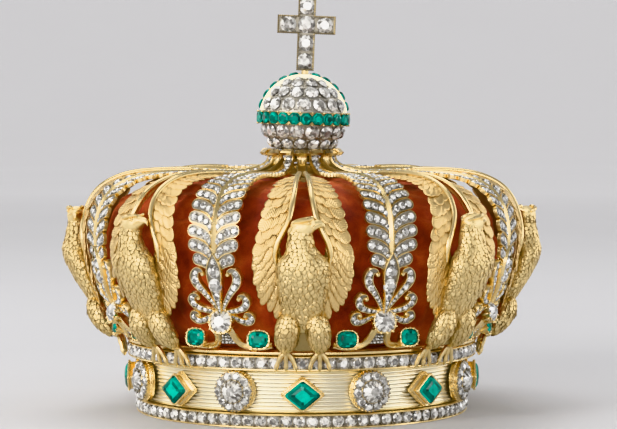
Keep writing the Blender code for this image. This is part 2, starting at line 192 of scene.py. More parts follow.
def addNode(tree, kind, inputs, **settings):   # each input is a plain value to set or a socket to link
    node = tree.nodes.new(kind)
    for label, value in settings.items():
        setattr(node, label, value)
    for place, value in inputs.items():
        if isinstance(value, (int, float, str, tuple)):
            node.inputs[place].default_value = value
        else:
            link(tree, value, node.inputs[place])
    return node


def attributeNode(tree, name):
    return addNode(tree, "GeometryNodeInputNamedAttribute", {"Name": name},
                   data_type="FLOAT_VECTOR").outputs[0]


def endTree(tree, instances, seed, finish):   # tone each copy, then make the copies real
    tone = addNode(tree, "FunctionNodeRandomValue", {"Seed": seed}, data_type="FLOAT")
    keep = addNode(tree, "GeometryNodeStoreNamedAttribute",
                   {"Name": "tone", "Geometry": instances, "Value": tone.outputs[1]},
                   data_type="FLOAT", domain="INSTANCE")
    real = addNode(tree, "GeometryNodeRealizeInstances", {0: keep.outputs[0]})
    done = addNode(tree, "GeometryNodeSetMaterial", {"Geometry": real.outputs[0], "Material": finish})
    addNode(tree, "NodeGroupOutput", {0: done.outputs[0]})


def newTree(name, inputs):
    tree = bpy.data.node_groups.new(name, "GeometryNodeTree")
    tree.interface.new_socket(name="Geometry", in_out="INPUT", socket_type="NodeSocketGeometry")
    tree.interface.new_socket(name="Geometry", in_out="OUTPUT", socket_type="NodeSocketGeometry")
    for label, kind in inputs:
        tree.interface.new_socket(name=label, in_out="INPUT", socket_type=f"NodeSocket{kind}")
    return tree, tree.nodes.new("NodeGroupInput")


def combined(tree, **axes):
    return addNode(tree, "ShaderNodeCombineXYZ", axes).outputs[0]


def jitter(tree, spin, tilt, seed):   # a small turn of each copy about its own axes
    most = combined(tree, X=tilt, Y=tilt, Z=spin)
    least = addNode(tree, "ShaderNodeVectorMath", {0: most}, operation="SCALE")
    least.inputs["Scale"].default_value = -1.0
    pick = addNode(tree, "FunctionNodeRandomValue", {0: least.outputs[0], 1: most, "Seed": seed},
                   data_type="FLOAT_VECTOR")
    return addNode(tree, "FunctionNodeEulerToRotation", {0: pick.outputs[0]}).outputs[0]


def copyNodes(tree, given, points, facing, along, size):
    aim = addNode(tree, "FunctionNodeAxesToRotation", {0: facing, 1: along}, primary_axis="Z",
                  secondary_axis="Y")
    turn = addNode(tree, "FunctionNodeRotateRotation",
                   {0: aim.outputs[0], 1: jitter(tree, *(given.outputs[label]
                                                         for label in ("Spin", "Tilt", "Seed")))},
                   rotation_space="LOCAL")
    shape = addNode(tree, "GeometryNodeObjectInfo", {"Object": given.outputs["Shape"]})
    copies = addNode(tree, "GeometryNodeInstanceOnPoints",
                     {"Points": points, "Instance": shape.outputs["Geometry"], "Rotation": turn.outputs[0],
                      "Scale": size})
    endTree(tree, copies.outputs[0], given.outputs["Seed"], given.outputs["Finish"])


copyInputs = [("Shape", "Object"), ("Spin", "Float"), ("Tilt", "Float"), ("Seed", "Int"),
              ("Finish", "Material")]


def buildSpotTree():   # a copy of the shape at every point, aimed by the point's own attributes
    tree, given = newTree("copiesAtSpots", copyInputs)
    copyNodes(tree, given, given.outputs["Geometry"], attributeNode(tree, "facing"),
              attributeNode(tree, "along"), attributeNode(tree, "size"))
    return tree


def buildRingTree():   # copies set side by side round a ring, facing outwards
    tree, given = newTree("copiesRoundRing", copyInputs + [("Count", "Int"), ("Radius", "Float"),
                                                           ("Height", "Float"), ("Phase", "Float"),
                                                           ("Size", "Vector")])
    ring = addNode(tree, "GeometryNodeMeshCircle",
                   {"Vertices": given.outputs["Count"], "Radius": given.outputs["Radius"]})
    place = addNode(tree, "GeometryNodeTransform",
                    {"Geometry": ring.outputs[0], "Translation": combined(tree, Z=given.outputs["Height"]),
                     "Rotation": combined(tree, Z=given.outputs["Phase"])})
    spot = addNode(tree, "GeometryNodeInputPosition", {})
    level = addNode(tree, "ShaderNodeVectorMath", {0: spot.outputs[0], 1: (1.0, 1.0, 0.0)},
                    operation="MULTIPLY")
    copyNodes(tree, given, place.outputs[0], level.outputs[0], combined(tree, Z=1.0), given.outputs["Size"])
    return tree


spotTree = buildSpotTree()
ringTree = buildRingTree()


def realised(host, tree, settings):   # runs the tree on a host object and returns its plain mesh
    modifier = host.modifiers.new("Copies", "NODES")
    modifier.node_group = tree
    for item in tree.interface.items_tree:
        if item.in_out == "INPUT" and item.name in settings:
            modifier[item.identifier] = settings[item.name]
    host.update_tag()
    bpy.context.view_layer.update()
    graph = bpy.context.evaluated_depsgraph_get()
    mesh = bpy.data.meshes.new_from_object(host.evaluated_get(graph))
    host.modifiers.remove(modifier)
    bpy.data.objects.remove(host)
    return mesh


def copiesAt(name, spots, shape, finish, spin=0.0, tilt=0.0, seed=1):
    # spots are (place, facing, along, size): place and size in mm, size a number or three
    mesh = bpy.data.meshes.new(name)
    mesh.vertices.add(len(spots))
    mesh.vertices.foreach_set("co", (np.array([s[0] for s in spots], float) * mm).ravel())
    sizes = [s[3] if isinstance(s[3], (tuple, list)) else (s[3],) * 3 for s in spots]
    for label, values in (("facing", [s[1] for s in spots]), ("along", [s[2] for s in spots]),
                          ("size", np.array(sizes, float) * mm)):
        stored = mesh.attributes.new(label, "FLOAT_VECTOR", "POINT")
        stored.data.foreach_set("vector", np.array(values, np.float32).ravel())
    return realised(placed(name, mesh), spotTree,
                    {"Shape": shape, "Spin": spin, "Tilt": tilt, "Seed": seed, "Finish": finish})


def copiesRound(name, count, radius, height, shape, size, finish, phase=0.0, spin=0.0, tilt=0.0, seed=1):
    size = tuple(s * mm for s in (size if isinstance(size, tuple) else (size,) * 3))
    return realised(placed(name, bpy.data.meshes.new(name)), ringTree, {
        "Shape": shape, "Spin": spin, "Tilt": tilt, "Seed": seed, "Finish": finish, "Count": count,
        "Radius": radius * mm, "Height": height * mm, "Phase": phase, "Size": size})


def shaderGroup(name, inputs, outputs):
    group = bpy.data.node_groups.new(name, "ShaderNodeTree")
    for label, kind, value in inputs:
        socket = group.interface.new_socket(name=label, in_out="INPUT", socket_type=f"NodeSocket{kind}")
        socket.default_value = value
    for label, kind in outputs:
        group.interface.new_socket(name=label, in_out="OUTPUT", socket_type=f"NodeSocket{kind}")
    return group, group.nodes.new("NodeGroupInput"), group.nodes.new("NodeGroupOutput")


def mathNode(tree, operation, *values, clamp=False):
    return addNode(tree, "ShaderNodeMath", dict(enumerate(values)), operation=operation,
                   use_clamp=clamp).outputs[0]


def mixNode(tree, amount, one, two):
    return addNode(tree, "ShaderNodeMix", {0: amount, 6: one, 7: two}, data_type="RGBA").outputs[2]


def noiseNode(tree, coordinates, scale, detail=3.0, roughness=0.5):
    return addNode(tree, "ShaderNodeTexNoise", {"Vector": coordinates, "Scale": scale, "Detail": detail,
                                                "Roughness": roughness}).outputs["Fac"]


def rampNode(tree, value, stops):
    node = tree.nodes.new("ShaderNodeValToRGB")
    band = node.color_ramp.elements
    while len(band) < len(stops):
        band.new(0.5)
    for element, (place, colour) in zip(band, stops):
        element.position = place
        element.color = (*colour, 1.0) if isinstance(colour, tuple) else (colour, colour, colour, 1.0)
    link(tree, value, node.inputs[0])
    return node.outputs[0]


def objectCoordinates(tree):
    return tree.nodes.new("ShaderNodeTexCoord").outputs["Object"]


def shaderAttribute(tree, name):
    node = tree.nodes.new("ShaderNodeAttribute")
    node.attribute_name = name
    return node


# goldsmith's patina with painted shade: warm tarnish and rubbed bright spots in random patches, painted shade
# darkening the hollows and the undersides of feathers and scales, fine chasing
def buildWornGoldAndShade():
    group, given, out = shaderGroup(
        "wornGoldAndShade", [("Bright", "Color", (0.9, 0.7, 0.35, 1)), ("Deep", "Color", (0.4, 0.25, 0.08, 1)),
                     ("Patina Scale", "Float", 150.0), ("Tool Scale", "Float", 2500.0),
                     ("Least Roughness", "Float", 0.2), ("Tool Depth", "Float", 1.0)],
        [("Colour", "Color"), ("Roughness", "Float"), ("Height", "Float")])
    where = objectCoordinates(group)
    patches = noiseNode(group, where, given.outputs["Patina Scale"], 4.0, 0.6)
    tooling = noiseNode(group, where, given.outputs["Tool Scale"], 2.0, 0.55)
    # painted shade: this mask darkens feather roots and the undersides of feathers and scales
    hollowShade = shaderAttribute(group, "hollowShade").outputs["Fac"]
    tone = shaderAttribute(group, "tone").outputs["Fac"]
    # tarnish from the random patches, plus painted shade from the mask
    tarnishAndShade = mathNode(group, "MULTIPLY_ADD", patches, 0.55, mathNode(group, "MULTIPLY_ADD", hollowShade, 0.9, -0.22))
    tarnishAndShade = mathNode(group, "ADD", tarnishAndShade, mathNode(group, "MULTIPLY", tone, 0.12), clamp=True)
    link(group, mixNode(group, tarnishAndShade, given.outputs["Bright"], given.outputs["Deep"]), out.inputs["Colour"])
    rough = mathNode(group, "MULTIPLY_ADD", patches, 0.16, given.outputs["Least Roughness"])
    link(group, mathNode(group, "MULTIPLY_ADD", hollowShade, 0.2, rough), out.inputs["Roughness"])
    link(group, mathNode(group, "MULTIPLY", tooling, given.outputs["Tool Depth"]), out.inputs["Height"])
    return group


def buildFacetLight():   # painted reflections and sparkle: every cut face takes its own brightness, different in every stone
    group, given, out = shaderGroup(
        "facetLight", [("Spread", "Float", 7.3), ("Cloud Scale", "Float", 900.0), ("Sparkle", "Float", 0.8)],
        [("Shade", "Float"), ("Roughness", "Float")])
    facet = shaderAttribute(group, "facet").outputs["Fac"]
    tone = shaderAttribute(group, "tone").outputs["Fac"]
    mixed = mathNode(group, "ADD", facet, mathNode(group, "MULTIPLY", tone, given.outputs["Spread"]))
    shade = mathNode(group, "FRACT", mixed)
    where = objectCoordinates(group)
    cloud = noiseNode(group, where, given.outputs["Cloud Scale"], 2.0)
    shade = mathNode(group, "MULTIPLY_ADD", mathNode(group, "SUBTRACT", cloud, 0.5), 0.7, shade)
    sparks = addNode(group, "ShaderNodeTexVoronoi",   # painted sparkle: the far facets seen through the near ones
                     {"Vector": where, "Scale": mathNode(group, "MULTIPLY", given.outputs["Cloud Scale"],
                                                         1.3)})
    spark = mathNode(group, "SUBTRACT", sparks.outputs["Color"], 0.5)
    shade = mathNode(group, "MULTIPLY_ADD", spark, given.outputs["Sparkle"], shade)
    link(group, mathNode(group, "ADD", shade, 0.0, clamp=True), out.inputs["Shade"])
    link(group, mathNode(group, "MULTIPLY_ADD", facet, 0.08, 0.03), out.inputs["Roughness"])
    return group


wornGoldAndShade = buildWornGoldAndShade()
facetLight = buildFacetLight()


def newMaterial(name, **constants):
    material = bpy.data.materials.new(name)
    material.use_nodes = True
    tree = material.node_tree
    shader = tree.nodes["Principled BSDF"]
    for label, value in constants.items():
        socket = shader.inputs[label.replace("_", " ")]
        socket.default_value = (*value, 1.0) if isinstance(value, tuple) else value
    return material, tree, shader


def bumped(tree, shader, height, strength, distance):
    bump = addNode(tree, "ShaderNodeBump", {"Strength": strength, "Distance": distance, "Height": height})
    link(tree, bump.outputs[0], shader.inputs["Normal"])


def goldMaterial(name, bright, deep, roughness, toolScale, toolDepth, barbs=False, patina=130.0):
    material, tree, shader = newMaterial(name, Metallic=1.0)
    gold = addNode(tree, "ShaderNodeGroup",
                   {"Bright": (*bright, 1), "Deep": (*deep, 1), "Patina Scale": patina,
                    "Tool Scale": toolScale,
                    "Least Roughness": roughness, "Tool Depth": toolDepth}, node_tree=wornGoldAndShade)
    link(tree, gold.outputs["Colour"], shader.inputs["Base Color"])
    link(tree, gold.outputs["Roughness"], shader.inputs["Roughness"])
    height = gold.outputs["Height"]
    if barbs:   # engraved lines that leave each feather's quill and run towards its edge
        vane = shaderAttribute(tree, "vane").outputs["Vector"]
        split = addNode(tree, "ShaderNodeSeparateXYZ", {0: vane})
        lean = mathNode(tree, "MULTIPLY_ADD", mathNode(tree, "ABSOLUTE", split.outputs["X"]), -0.45,
                        split.outputs["Y"])
        lines = mathNode(tree, "SINE", mathNode(tree, "MULTIPLY", lean, split.outputs["Z"]))
        height = mathNode(tree, "MULTIPLY_ADD", lines, 0.35, height)
    bumped(tree, shader, height, 0.55, 0.00022)
    return material


def stoneMaterial(name, stops, ior, spread=7.3, coat=0.0, gloss=0.5, cloud=900.0, sparkle=0.8):
    material, tree, shader = newMaterial(name, IOR=ior, Coat_Weight=coat, Coat_Roughness=0.02,
                                         Specular_IOR_Level=gloss)
    cut = addNode(tree, "ShaderNodeGroup", {"Spread": spread, "Cloud Scale": cloud, "Sparkle": sparkle},
                  node_tree=facetLight)
    # the base colour is a painted mosaic of reflected light and shade, facet by facet
    link(tree, rampNode(tree, cut.outputs["Shade"], stops), shader.inputs["Base Color"])
    link(tree, cut.outputs["Roughness"], shader.inputs["Roughness"])
    return material


polishedGold = goldMaterial("polishedGold", (0.90, 0.71, 0.37), (0.50, 0.34, 0.13), 0.2, 900.0, 0.25)
# a paler, brighter gold for the band and the bow; part of its brightness is painted light
bandGold = goldMaterial("bandGold", (0.96, 0.90, 0.70), (0.80, 0.69, 0.45), 0.27, 1500.0, 0.35)
chasedGold = goldMaterial("chasedGold", (0.96, 0.78, 0.42), (0.42, 0.27, 0.09), 0.33, 1300.0, 1.2)
# a darker gold for the wing feathers; part of its darkness is painted shade
featherGold = goldMaterial("featherGold", (0.81, 0.60, 0.29), (0.26, 0.155, 0.05), 0.26, 2600.0, 0.7,
                           barbs=True)
# a dark, dull gold, also used as painted shade on each eagle's tail plate between the thighs
dullGoldAndShade = goldMaterial("dullGoldAndShade", (0.40, 0.31, 0.15), (0.14, 0.09, 0.035), 0.36, 1200.0, 0.8)
settingSilver = goldMaterial("settingSilver", (0.29, 0.265, 0.215), (0.08, 0.066, 0.045), 0.4, 2400.0, 0.9,
                             patina=400.0)
orbSilver = goldMaterial("orbSilver", (0.46, 0.43, 0.37), (0.20, 0.175, 0.135), 0.38, 2400.0, 0.7,
                         patina=400.0)
diamond = stoneMaterial("diamond", [(0.0, (0.10, 0.093, 0.083)), (0.22, (0.22, 0.21, 0.19)),
                                    (0.5, (0.42, 0.41, 0.385)), (1.0, (0.84, 0.83, 0.80))], 1.9, coat=0.5,
                                    sparkle=0.6)
emerald = stoneMaterial("emerald", [(0.0, (0.0, 0.05, 0.036)), (0.4, (0.0, 0.14, 0.10)),
                                    (0.75, (0.0, 0.26, 0.19)), (1.0, (0.0, 0.44, 0.33))], 1.45, gloss=0.25,
                        spread=3.1, cloud=500.0, sparkle=0.25)


def softMaterial(name, stops, grain, patch, depth, roughness, **constants):   # velvet nap or leather grain
    material, tree, shader = newMaterial(name, **constants)
    where = objectCoordinates(tree)
    nap = noiseNode(tree, where, grain, 3.0, 0.7)
    brushed = noiseNode(tree, where, patch, 3.0, 0.55)
    blend = mathNode(tree, "MULTIPLY_ADD", brushed, 0.75, mathNode(tree, "MULTIPLY", nap, 0.25))
    link(tree, rampNode(tree, blend, stops), shader.inputs["Base Color"])
    link(tree, mathNode(tree, "MULTIPLY_ADD", nap, 0.2, roughness), shader.inputs["Roughness"])
    bumped(tree, shader, nap, 0.6, depth)
    return material


velvet = softMaterial("velvet", [(0.34, (0.15, 0.011, 0.004)), (0.5, (0.40, 0.048, 0.012)),
                                 (0.67, (0.70, 0.17, 0.048))],
                      3200.0, 95.0, 0.0003, 0.62, Sheen_Weight=0.45, Sheen_Roughness=0.4,
                      Sheen_Tint=(0.95, 0.38, 0.18))
leather = softMaterial("leather", [(0.3, (0.10, 0.045, 0.02)), (0.7, (0.22, 0.11, 0.055))], 1500.0, 90.0,
                       0.0003, 0.45)
paper = softMaterial("paper", [(0.3, (0.565, 0.56, 0.57)), (0.7, (0.58, 0.575, 0.585))], 400.0, 8.0, 0.0001,
                     0.7)


paperGlow = {"near": 0.2, "far": 1.6, "colour": (0.33, 0.32505, 0.32835)}   # distances in m


def lightFarPaper(material):   # keeps the floor as pale far away as it is near the lights
    tree = material.node_tree
    shader = tree.nodes["Principled BSDF"]
    split = addNode(tree, "ShaderNodeSeparateXYZ", {0: objectCoordinates(tree)})
    squares = [mathNode(tree, "MULTIPLY", split.outputs[axis], split.outputs[axis]) for axis in "XY"]
    reach = mathNode(tree, "SQRT", mathNode(tree, "ADD", *squares))
    near, far = paperGlow["near"], paperGlow["far"]
    share = mathNode(tree, "DIVIDE", mathNode(tree, "SUBTRACT", reach, near), far - near, clamp=True)
    shader.inputs["Emission Strength"].default_value = 1.0
    link(tree, rampNode(tree, share, [(0.0, 0.0), (1.0, paperGlow["colour"])]),
         shader.inputs["Emission Color"])


lightFarPaper(paper)


def keptShape(name, shape, smooth=False, attributes=()):   # an object that the trees copy, removed at the end
    mesh = bpy.data.meshes.new(name)
    shape.to_mesh(mesh)
    shape.free()
    mesh.polygons.foreach_set("use_smooth", [smooth] * len(mesh.polygons))
    for label, kind, domain, values in attributes:
        stored = mesh.attributes.new(label, kind, domain)
        field = "value" if kind == "FLOAT" else "vector"
        stored.data.foreach_set(field, np.array(values(mesh), np.float32).ravel())
    keptShapes.append(placed(name, mesh))
    return keptShapes[-1]


keptShapes = []


def facetValues(seed):
    def values(mesh):
        pick = random.Random(seed)
        return [pick.random() for _ in mesh.polygons]
    return ("facet", "FLOAT", "FACE", values)


def brilliant(name, sides, table, height, seed, rich=True):   # radius 1, its girdle at height 0
    shape = bmesh.new()

    def ringOf(count, radius, z, shift):
        return [shape.verts.new((radius * math.cos((i + shift) * math.tau / count),
                                 radius * math.sin((i + shift) * math.tau / count), z)) for i in range(count)]
    top = ringOf(sides, table, height, 0.0)
    shape.faces.new(top)
    if rich:
        waist = ringOf(sides, 0.5 * (1 + table), height * 0.58, 0.5)
        girdle = ringOf(sides * 2, 1.0, 0.0, 0.0)
        for i in range(sides):
            j = (i + 1) % sides
            shape.faces.new((top[j], top[i], waist[i]))
            shape.faces.new((top[j], waist[i], girdle[2 * j], waist[j]))
            shape.faces.new((waist[i], girdle[2 * i], girdle[2 * i + 1]))
            shape.faces.new((waist[i], girdle[2 * i + 1], girdle[2 * j]))
    else:
        girdle = ringOf(sides, 1.0, 0.0, 0.5)
        for i in range(sides):
            j = (i + 1) % sides
            shape.faces.new((top[j], top[i], girdle[i]))
            shape.faces.new((top[j], girdle[i], girdle[j]))
    shape.faces.new(girdle)
    bmesh.ops.recalc_face_normals(shape, faces=shape.faces)
    return keptShape(name, shape, attributes=[facetValues(seed)])


def roundedOutline(halfX, halfY, power, count, shift=0.5):   # a superellipse: power 2 is an oval, 4 a cushion
    points = []
    for i in range(count):
        a = (i + shift) * math.tau / count
        c, s = math.cos(a), math.sin(a)
        reach = (abs(c / halfX) ** power + abs(s / halfY) ** power) ** (-1 / power)
        points.append((c * reach, s * reach))
    return points


def lozengeOutline(halfX, halfY, corner=0.12):   # a diamond-shaped outline with its four tips cut off
    points = []
    tips = [(halfX, 0), (0, halfY), (-halfX, 0), (0, -halfY)]
    for i, tip in enumerate(tips):
        before, after = tips[i - 1], tips[(i + 1) % 4]
        for other in (before, after):
            points.append((tip[0] + (other[0] - tip[0]) * corner, tip[1] + (other[1] - tip[1]) * corner))
    return points


def stacked(outline, levels):   # rings of one outline at (scale, height), for collets and step cuts
    return [[(x * scale, y * scale, z) for x, y in outline] for scale, z in levels]


def stepCut(name, outline, levels, seed):
    shape = bmesh.new()
    addLoft(shape, stacked(outline, levels), unit=1.0)
    bmesh.ops.recalc_face_normals(shape, faces=shape.faces)
    return keptShape(name, shape, attributes=[facetValues(seed)])


# length 1 from its root at the origin to its tip at +Y, half width 0.5, raised at the tip
def buildFeather():
    shape = bmesh.new()
    across = (-1.0, -0.9, -0.5, 0.0, 0.5, 0.9, 1.0)
    stations = [(0.0, 0.34), (0.22, 0.44), (0.48, 0.5), (0.72, 0.49), (0.88, 0.4), (0.965, 0.25), (1.0, 0.08)]
    rings = []
    for y, half in stations:
        crown = [0.0, 0.72, 0.95, 0.86, 0.95, 0.72, 0.0]   # a groove down the middle is the quill
        rise = 0.05 + 0.08 * y
        raised = rise * (1.0 if y < 0.98 else 0.6)
        top = [(x * half, y, raised * (0.2 + 0.8 * c)) for x, c in zip(across, crown)]
        bottom = [(x * half, y, -0.05) for x in (0.9, -0.9)]
        rings.append(top + bottom)
    addLoft(shape, rings, unit=1.0)
    bmesh.ops.recalc_face_normals(shape, faces=shape.faces)

    def vane(mesh):   # across, along, and how many barbs
        return [(v.co.x, v.co.y, 48.0) for v in mesh.vertices]

    # painted shade: darker at the root and underneath, where the feathers lie over one another
    def hollowShade(mesh):
        return [max(0.0, 1.0 - v.co.y * 2.2) * 0.8 + (0.5 if v.co.z < 0.02 else 0.0) for v in mesh.vertices]
    return keptShape("featherShape", shape, True, [("vane", "FLOAT_VECTOR", "POINT", vane),
                                                    ("hollowShade", "FLOAT", "POINT", hollowShade)])


def buildScale():   # a small body feather, lower and coarser than a wing feather
    shape = bmesh.new()
    rings = []
    for y, half, rise in ((0.0, 0.3, 0.0), (0.35, 0.5, 0.10), (0.72, 0.46, 0.17), (1.0, 0.14, 0.15)):
        rings.append([(-half, y, -0.06), (-half * 0.6, y, rise * 0.8), (0.0, y, rise + 0.03),
                      (half * 0.6, y, rise * 0.8), (half, y, -0.06)])
    addLoft(shape, rings, unit=1.0)
    bmesh.ops.recalc_face_normals(shape, faces=shape.faces)

    # painted shade: darker on the underside of each scale
    def hollowShade(mesh):
        return [0.9 if v.co.z < 0.02 else 0.15 for v in mesh.vertices]
    return keptShape("scaleShape", shape, True, [("hollowShade", "FLOAT", "POINT", hollowShade)])


def buildBead(name, levels):
    shape = bmesh.new()
    bmesh.ops.create_icosphere(shape, subdivisions=levels, radius=1.0)
    return keptShape(name, shape, True)


largeStone = brilliant("largeStone", 8, 0.52, 0.42, 3)
grandStone = brilliant("grandStone", 12, 0.42, 0.4, 5)
smallStone = brilliant("smallStone", 7, 0.5, 0.42, 8, rich=False)
feather = buildFeather()
bodyScale = buildScale()
bead = buildBead("bead", 1)
fineBead = buildBead("fineBead", 2)
cutLevels = [(1.0, -0.1), (1.0, 0.0), (0.84, 0.2), (0.66, 0.33), (0.42, 0.4)]
squareEmerald = stepCut("squareEmerald", roundedOutline(1.0, 1.0, 5.0, 8), cutLevels, 11)
ovalEmerald = stepCut("ovalEmerald", roundedOutline(1.0, 1.0, 2.8, 12), cutLevels, 12)
lozengeEmerald = stepCut("lozengeEmerald", lozengeOutline(1.0, 0.85), cutLevels, 13)


# A strap is a flat gold strip with raised edges, straight or scrolled, set with stones
def addStrap(shape, line, rim, base=-0.45, edgeTop=1.0, floor=0.55):
    # line rows are (across, along, half width) in mm, smooth enough already; gold is material 0, the floor 1
    line = np.array(line, float)
    ways = np.gradient(line[:, :2], axis=0)
    ways /= np.hypot(*ways.T)[:, None]
    rings = []
    for (x, y, half), (wx, wy) in zip(line, ways):
        inner = max(half - rim, half * 0.35)
        offsets = [(-half, base), (-half, edgeTop - 0.15), (-half + rim * 0.3, edgeTop), (-inner, edgeTop),
                   (-inner, floor), (inner, floor), (inner, edgeTop), (half - rim * 0.3, edgeTop),
                   (half, edgeTop - 0.15), (half, base)]
        rings.append([(x + wy * o, y - wx * o, z) for o, z in offsets])
    loops = addLoft(shape, rings)
    for one, two in zip(loops, loops[1:]):
        for face in one[4].link_faces:
            if one[5] in face.verts and two[4] in face.verts and two[5] in face.verts:
                face.material_index = 1


def tapered(points, steps=6, roundTip=0.9):   # a smooth line of (x, y, half width), its far end rounded off
    line = smoothLine(points, steps)
    runs = runsOf(line)
    reach = line[-1, 2] * roundTip
    extra = []
    for share in (0.0, 0.35, 0.65, 0.85, 0.96, 1.0):
        at = runs[-1] - reach * (1 - share)
        row = [np.interp(at, runs, line[:, k]) for k in range(3)]
        row[2] *= math.sqrt(max(1 - share ** 2, 0.004))
        extra.append(row)
    return np.vstack([line[runs < runs[-1] - reach], extra]), line, runs


def stonesAlong(line, runs, fill=0.72, rim=0.28, height=0.5, startGap=0.0, least=0.3, gap=0.06):
    # graded stones that touch one another, from the line's far end towards its start
    spots = []
    at = runs[-1] - startGap
    while at > 0.3:
        half = float(np.interp(at, runs, line[:, 2]))
        size = max((half - rim) * fill / 0.72, least)
        at -= size
        if at < 0.2:
            break
        place = [float(np.interp(at, runs, line[:, k])) for k in range(2)]
        spots.append(((place[0], place[1], height), (0, 0, 1), (0, 1, 0), size))
        at -= size + gap
    return spots


def grainsBeside(place, facing, along, radius, away=1.02, size=0.17):   # the small grains that hold a stone
    turns = [math.pi / 4 + k * math.pi / 2 for k in range(4)]
    return [((place[0] + math.cos(a) * radius * away, place[1] + math.sin(a) * radius * away, place[2]
              + 0.12),
             facing, along, size) for a in turns]


circlet = {
    "ribPitch": 1.06, "ribDepth": 0.45, "steps": 168,
    "lowerCount": 83, "lowerStone": 1.78, "upperCount": 84, "upperStone": 1.9,
    "edge": 0.5,     # the gold rolls above and below each row of stones
}


def rimProfile(outer, inner, low, high, edge, floor):   # a channel between two rolled edges
    def roll(centre, first):
        turns = [math.radians(first - 36 * k) for k in range(5)]
        return [(outer - edge + edge * math.cos(a), centre + edge * 0.6 * math.sin(a)) for a in turns]
    return [(inner, high), (outer - edge, high), *roll(high - edge * 0.6, 90),
            (outer - floor, high - edge * 1.25), (outer - floor, low + edge * 1.25),
            *roll(low + edge * 0.6, 60), (outer - edge, low), (inner, low)]


def buildStoneRim(name, node, count, size, seed):
    low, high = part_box(node)
    outer = high[0] / mm
    bottom, top = low[2] / mm, high[2] / mm
    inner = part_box("circlet_band")[1][0] / mm - 1.2
    ring = turned(name, rimProfile(outer, inner, bottom, top, circlet["edge"], 0.75), circlet["steps"],
                  polishedGold)
    middle = (bottom + top) / 2
    floor = turned(name + "Floor", [(outer - 0.7, top - 0.6), (outer - 0.62, middle),
                                    (outer - 0.7, bottom + 0.6),
                                    (outer - 1.2, bottom + 0.6), (outer - 1.2, top - 0.6)], circlet["steps"],
                                    settingSilver)
    stones = copiesRound(name + "Stones", count, outer - 0.5, middle, largeStone, size, diamond,
                         spin=math.pi, tilt=0.05, seed=seed)
    grains = []
    half = math.pi / count
    for k, lift in enumerate((-0.74, 0.74)):
        grains.append(copiesRound(f"{name}Grains{k}", count, outer - 0.45, middle + lift * size, bead, 0.36,
                                  settingSilver, phase=half, seed=seed + k))
    madePiece(name, [ring, floor, stones, *grains], crownBody, "diamonds", node)


def buildBand():   # fine half-round ribs between two polished fillets
    low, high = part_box("circlet_band")
    outer = high[0] / mm
    bottom, top = low[2] / mm, high[2] / mm
    ribs = int((top - bottom - 1.0) / circlet["ribPitch"])
    pitch = (top - bottom - 1.0) / ribs
    profile = [(outer - 1.1, top), (outer - 0.1, top), (outer, top - 0.25), (outer - 0.15, top - 0.5)]
    for k in range(ribs):
        for share in (0.06, 0.2, 0.4, 0.6, 0.8, 0.94):
            bulge = math.sin(share * math.pi) ** 0.6 * circlet["ribDepth"]
            profile.append((outer - circlet["ribDepth"] + bulge, top - 0.5 - (k + share) * pitch))
    profile += [(outer - 0.15, bottom + 0.5), (outer + 0.1, bottom + 0.25), (outer - 0.1, bottom),
                (outer - 1.1, bottom)]
    madePiece("circletBand", [turned("circletBand", profile, circlet["steps"], bandGold, corner=50)],
              crownBody, "polished_gold", "circlet_band")


def buildLedge():
    low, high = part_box("arch_ledge")
    outer, bottom, top = high[0] / mm, low[2] / mm, high[2] / mm
    inner = outer - 5.4
    profile = [(inner, top), (outer - 1.4, top), (outer - 1.0, top - 0.1), (outer - 0.7, top - 0.45),
               (outer - 0.1, top - 0.6),
               (outer, top - 0.85), (outer - 0.1, bottom + 0.2), (outer - 0.5, bottom), (inner, bottom)]
    madePiece("archLedge", [turned("archLedge", profile, circlet["steps"], polishedGold)],
              crownBody, "polished_gold", "arch_ledge")


def outwards(meshes, node, drop=0.0):   # stands a setting made facing +Z on the band, as high as its node
    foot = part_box("emerald_lozenge_1")[1][1]   # all the settings start at one depth
    low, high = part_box(node)
    place = Vector((0.0, foot, (low[2] + high[2]) / 2 - drop * mm))
    for mesh in meshes:
        mesh.transform(Matrix.Translation(place) @ Matrix.Rotation(math.pi / 2, 4, "X"))
    return meshes


def colletMesh(name, outline, levels, finish, corner=35):
    shape = bmesh.new()
    addLoft(shape, stacked(outline, levels))
    return newMesh(name, shape, finish, corner=corner)


def ringSpots(outline, count, height, size, reach=1.0):   # evenly along an outline
    loop = np.array(outline + outline[:1]) * reach
    runs = runsOf(loop)
    spots = []
    for k in range(count):
        at = runs[-1] * k / count
        x, y = np.interp(at, runs, loop[:, 0]), np.interp(at, runs, loop[:, 1])
        spots.append(((x, y, height), (0, 0, 1), (x, y, 0.001), size))
    return spots


cluster = {"stone": 3.25, "small": 1.36, "smallCount": 10, "smallReach": 4.62, "outer": 6.1, "depth": 3.4}


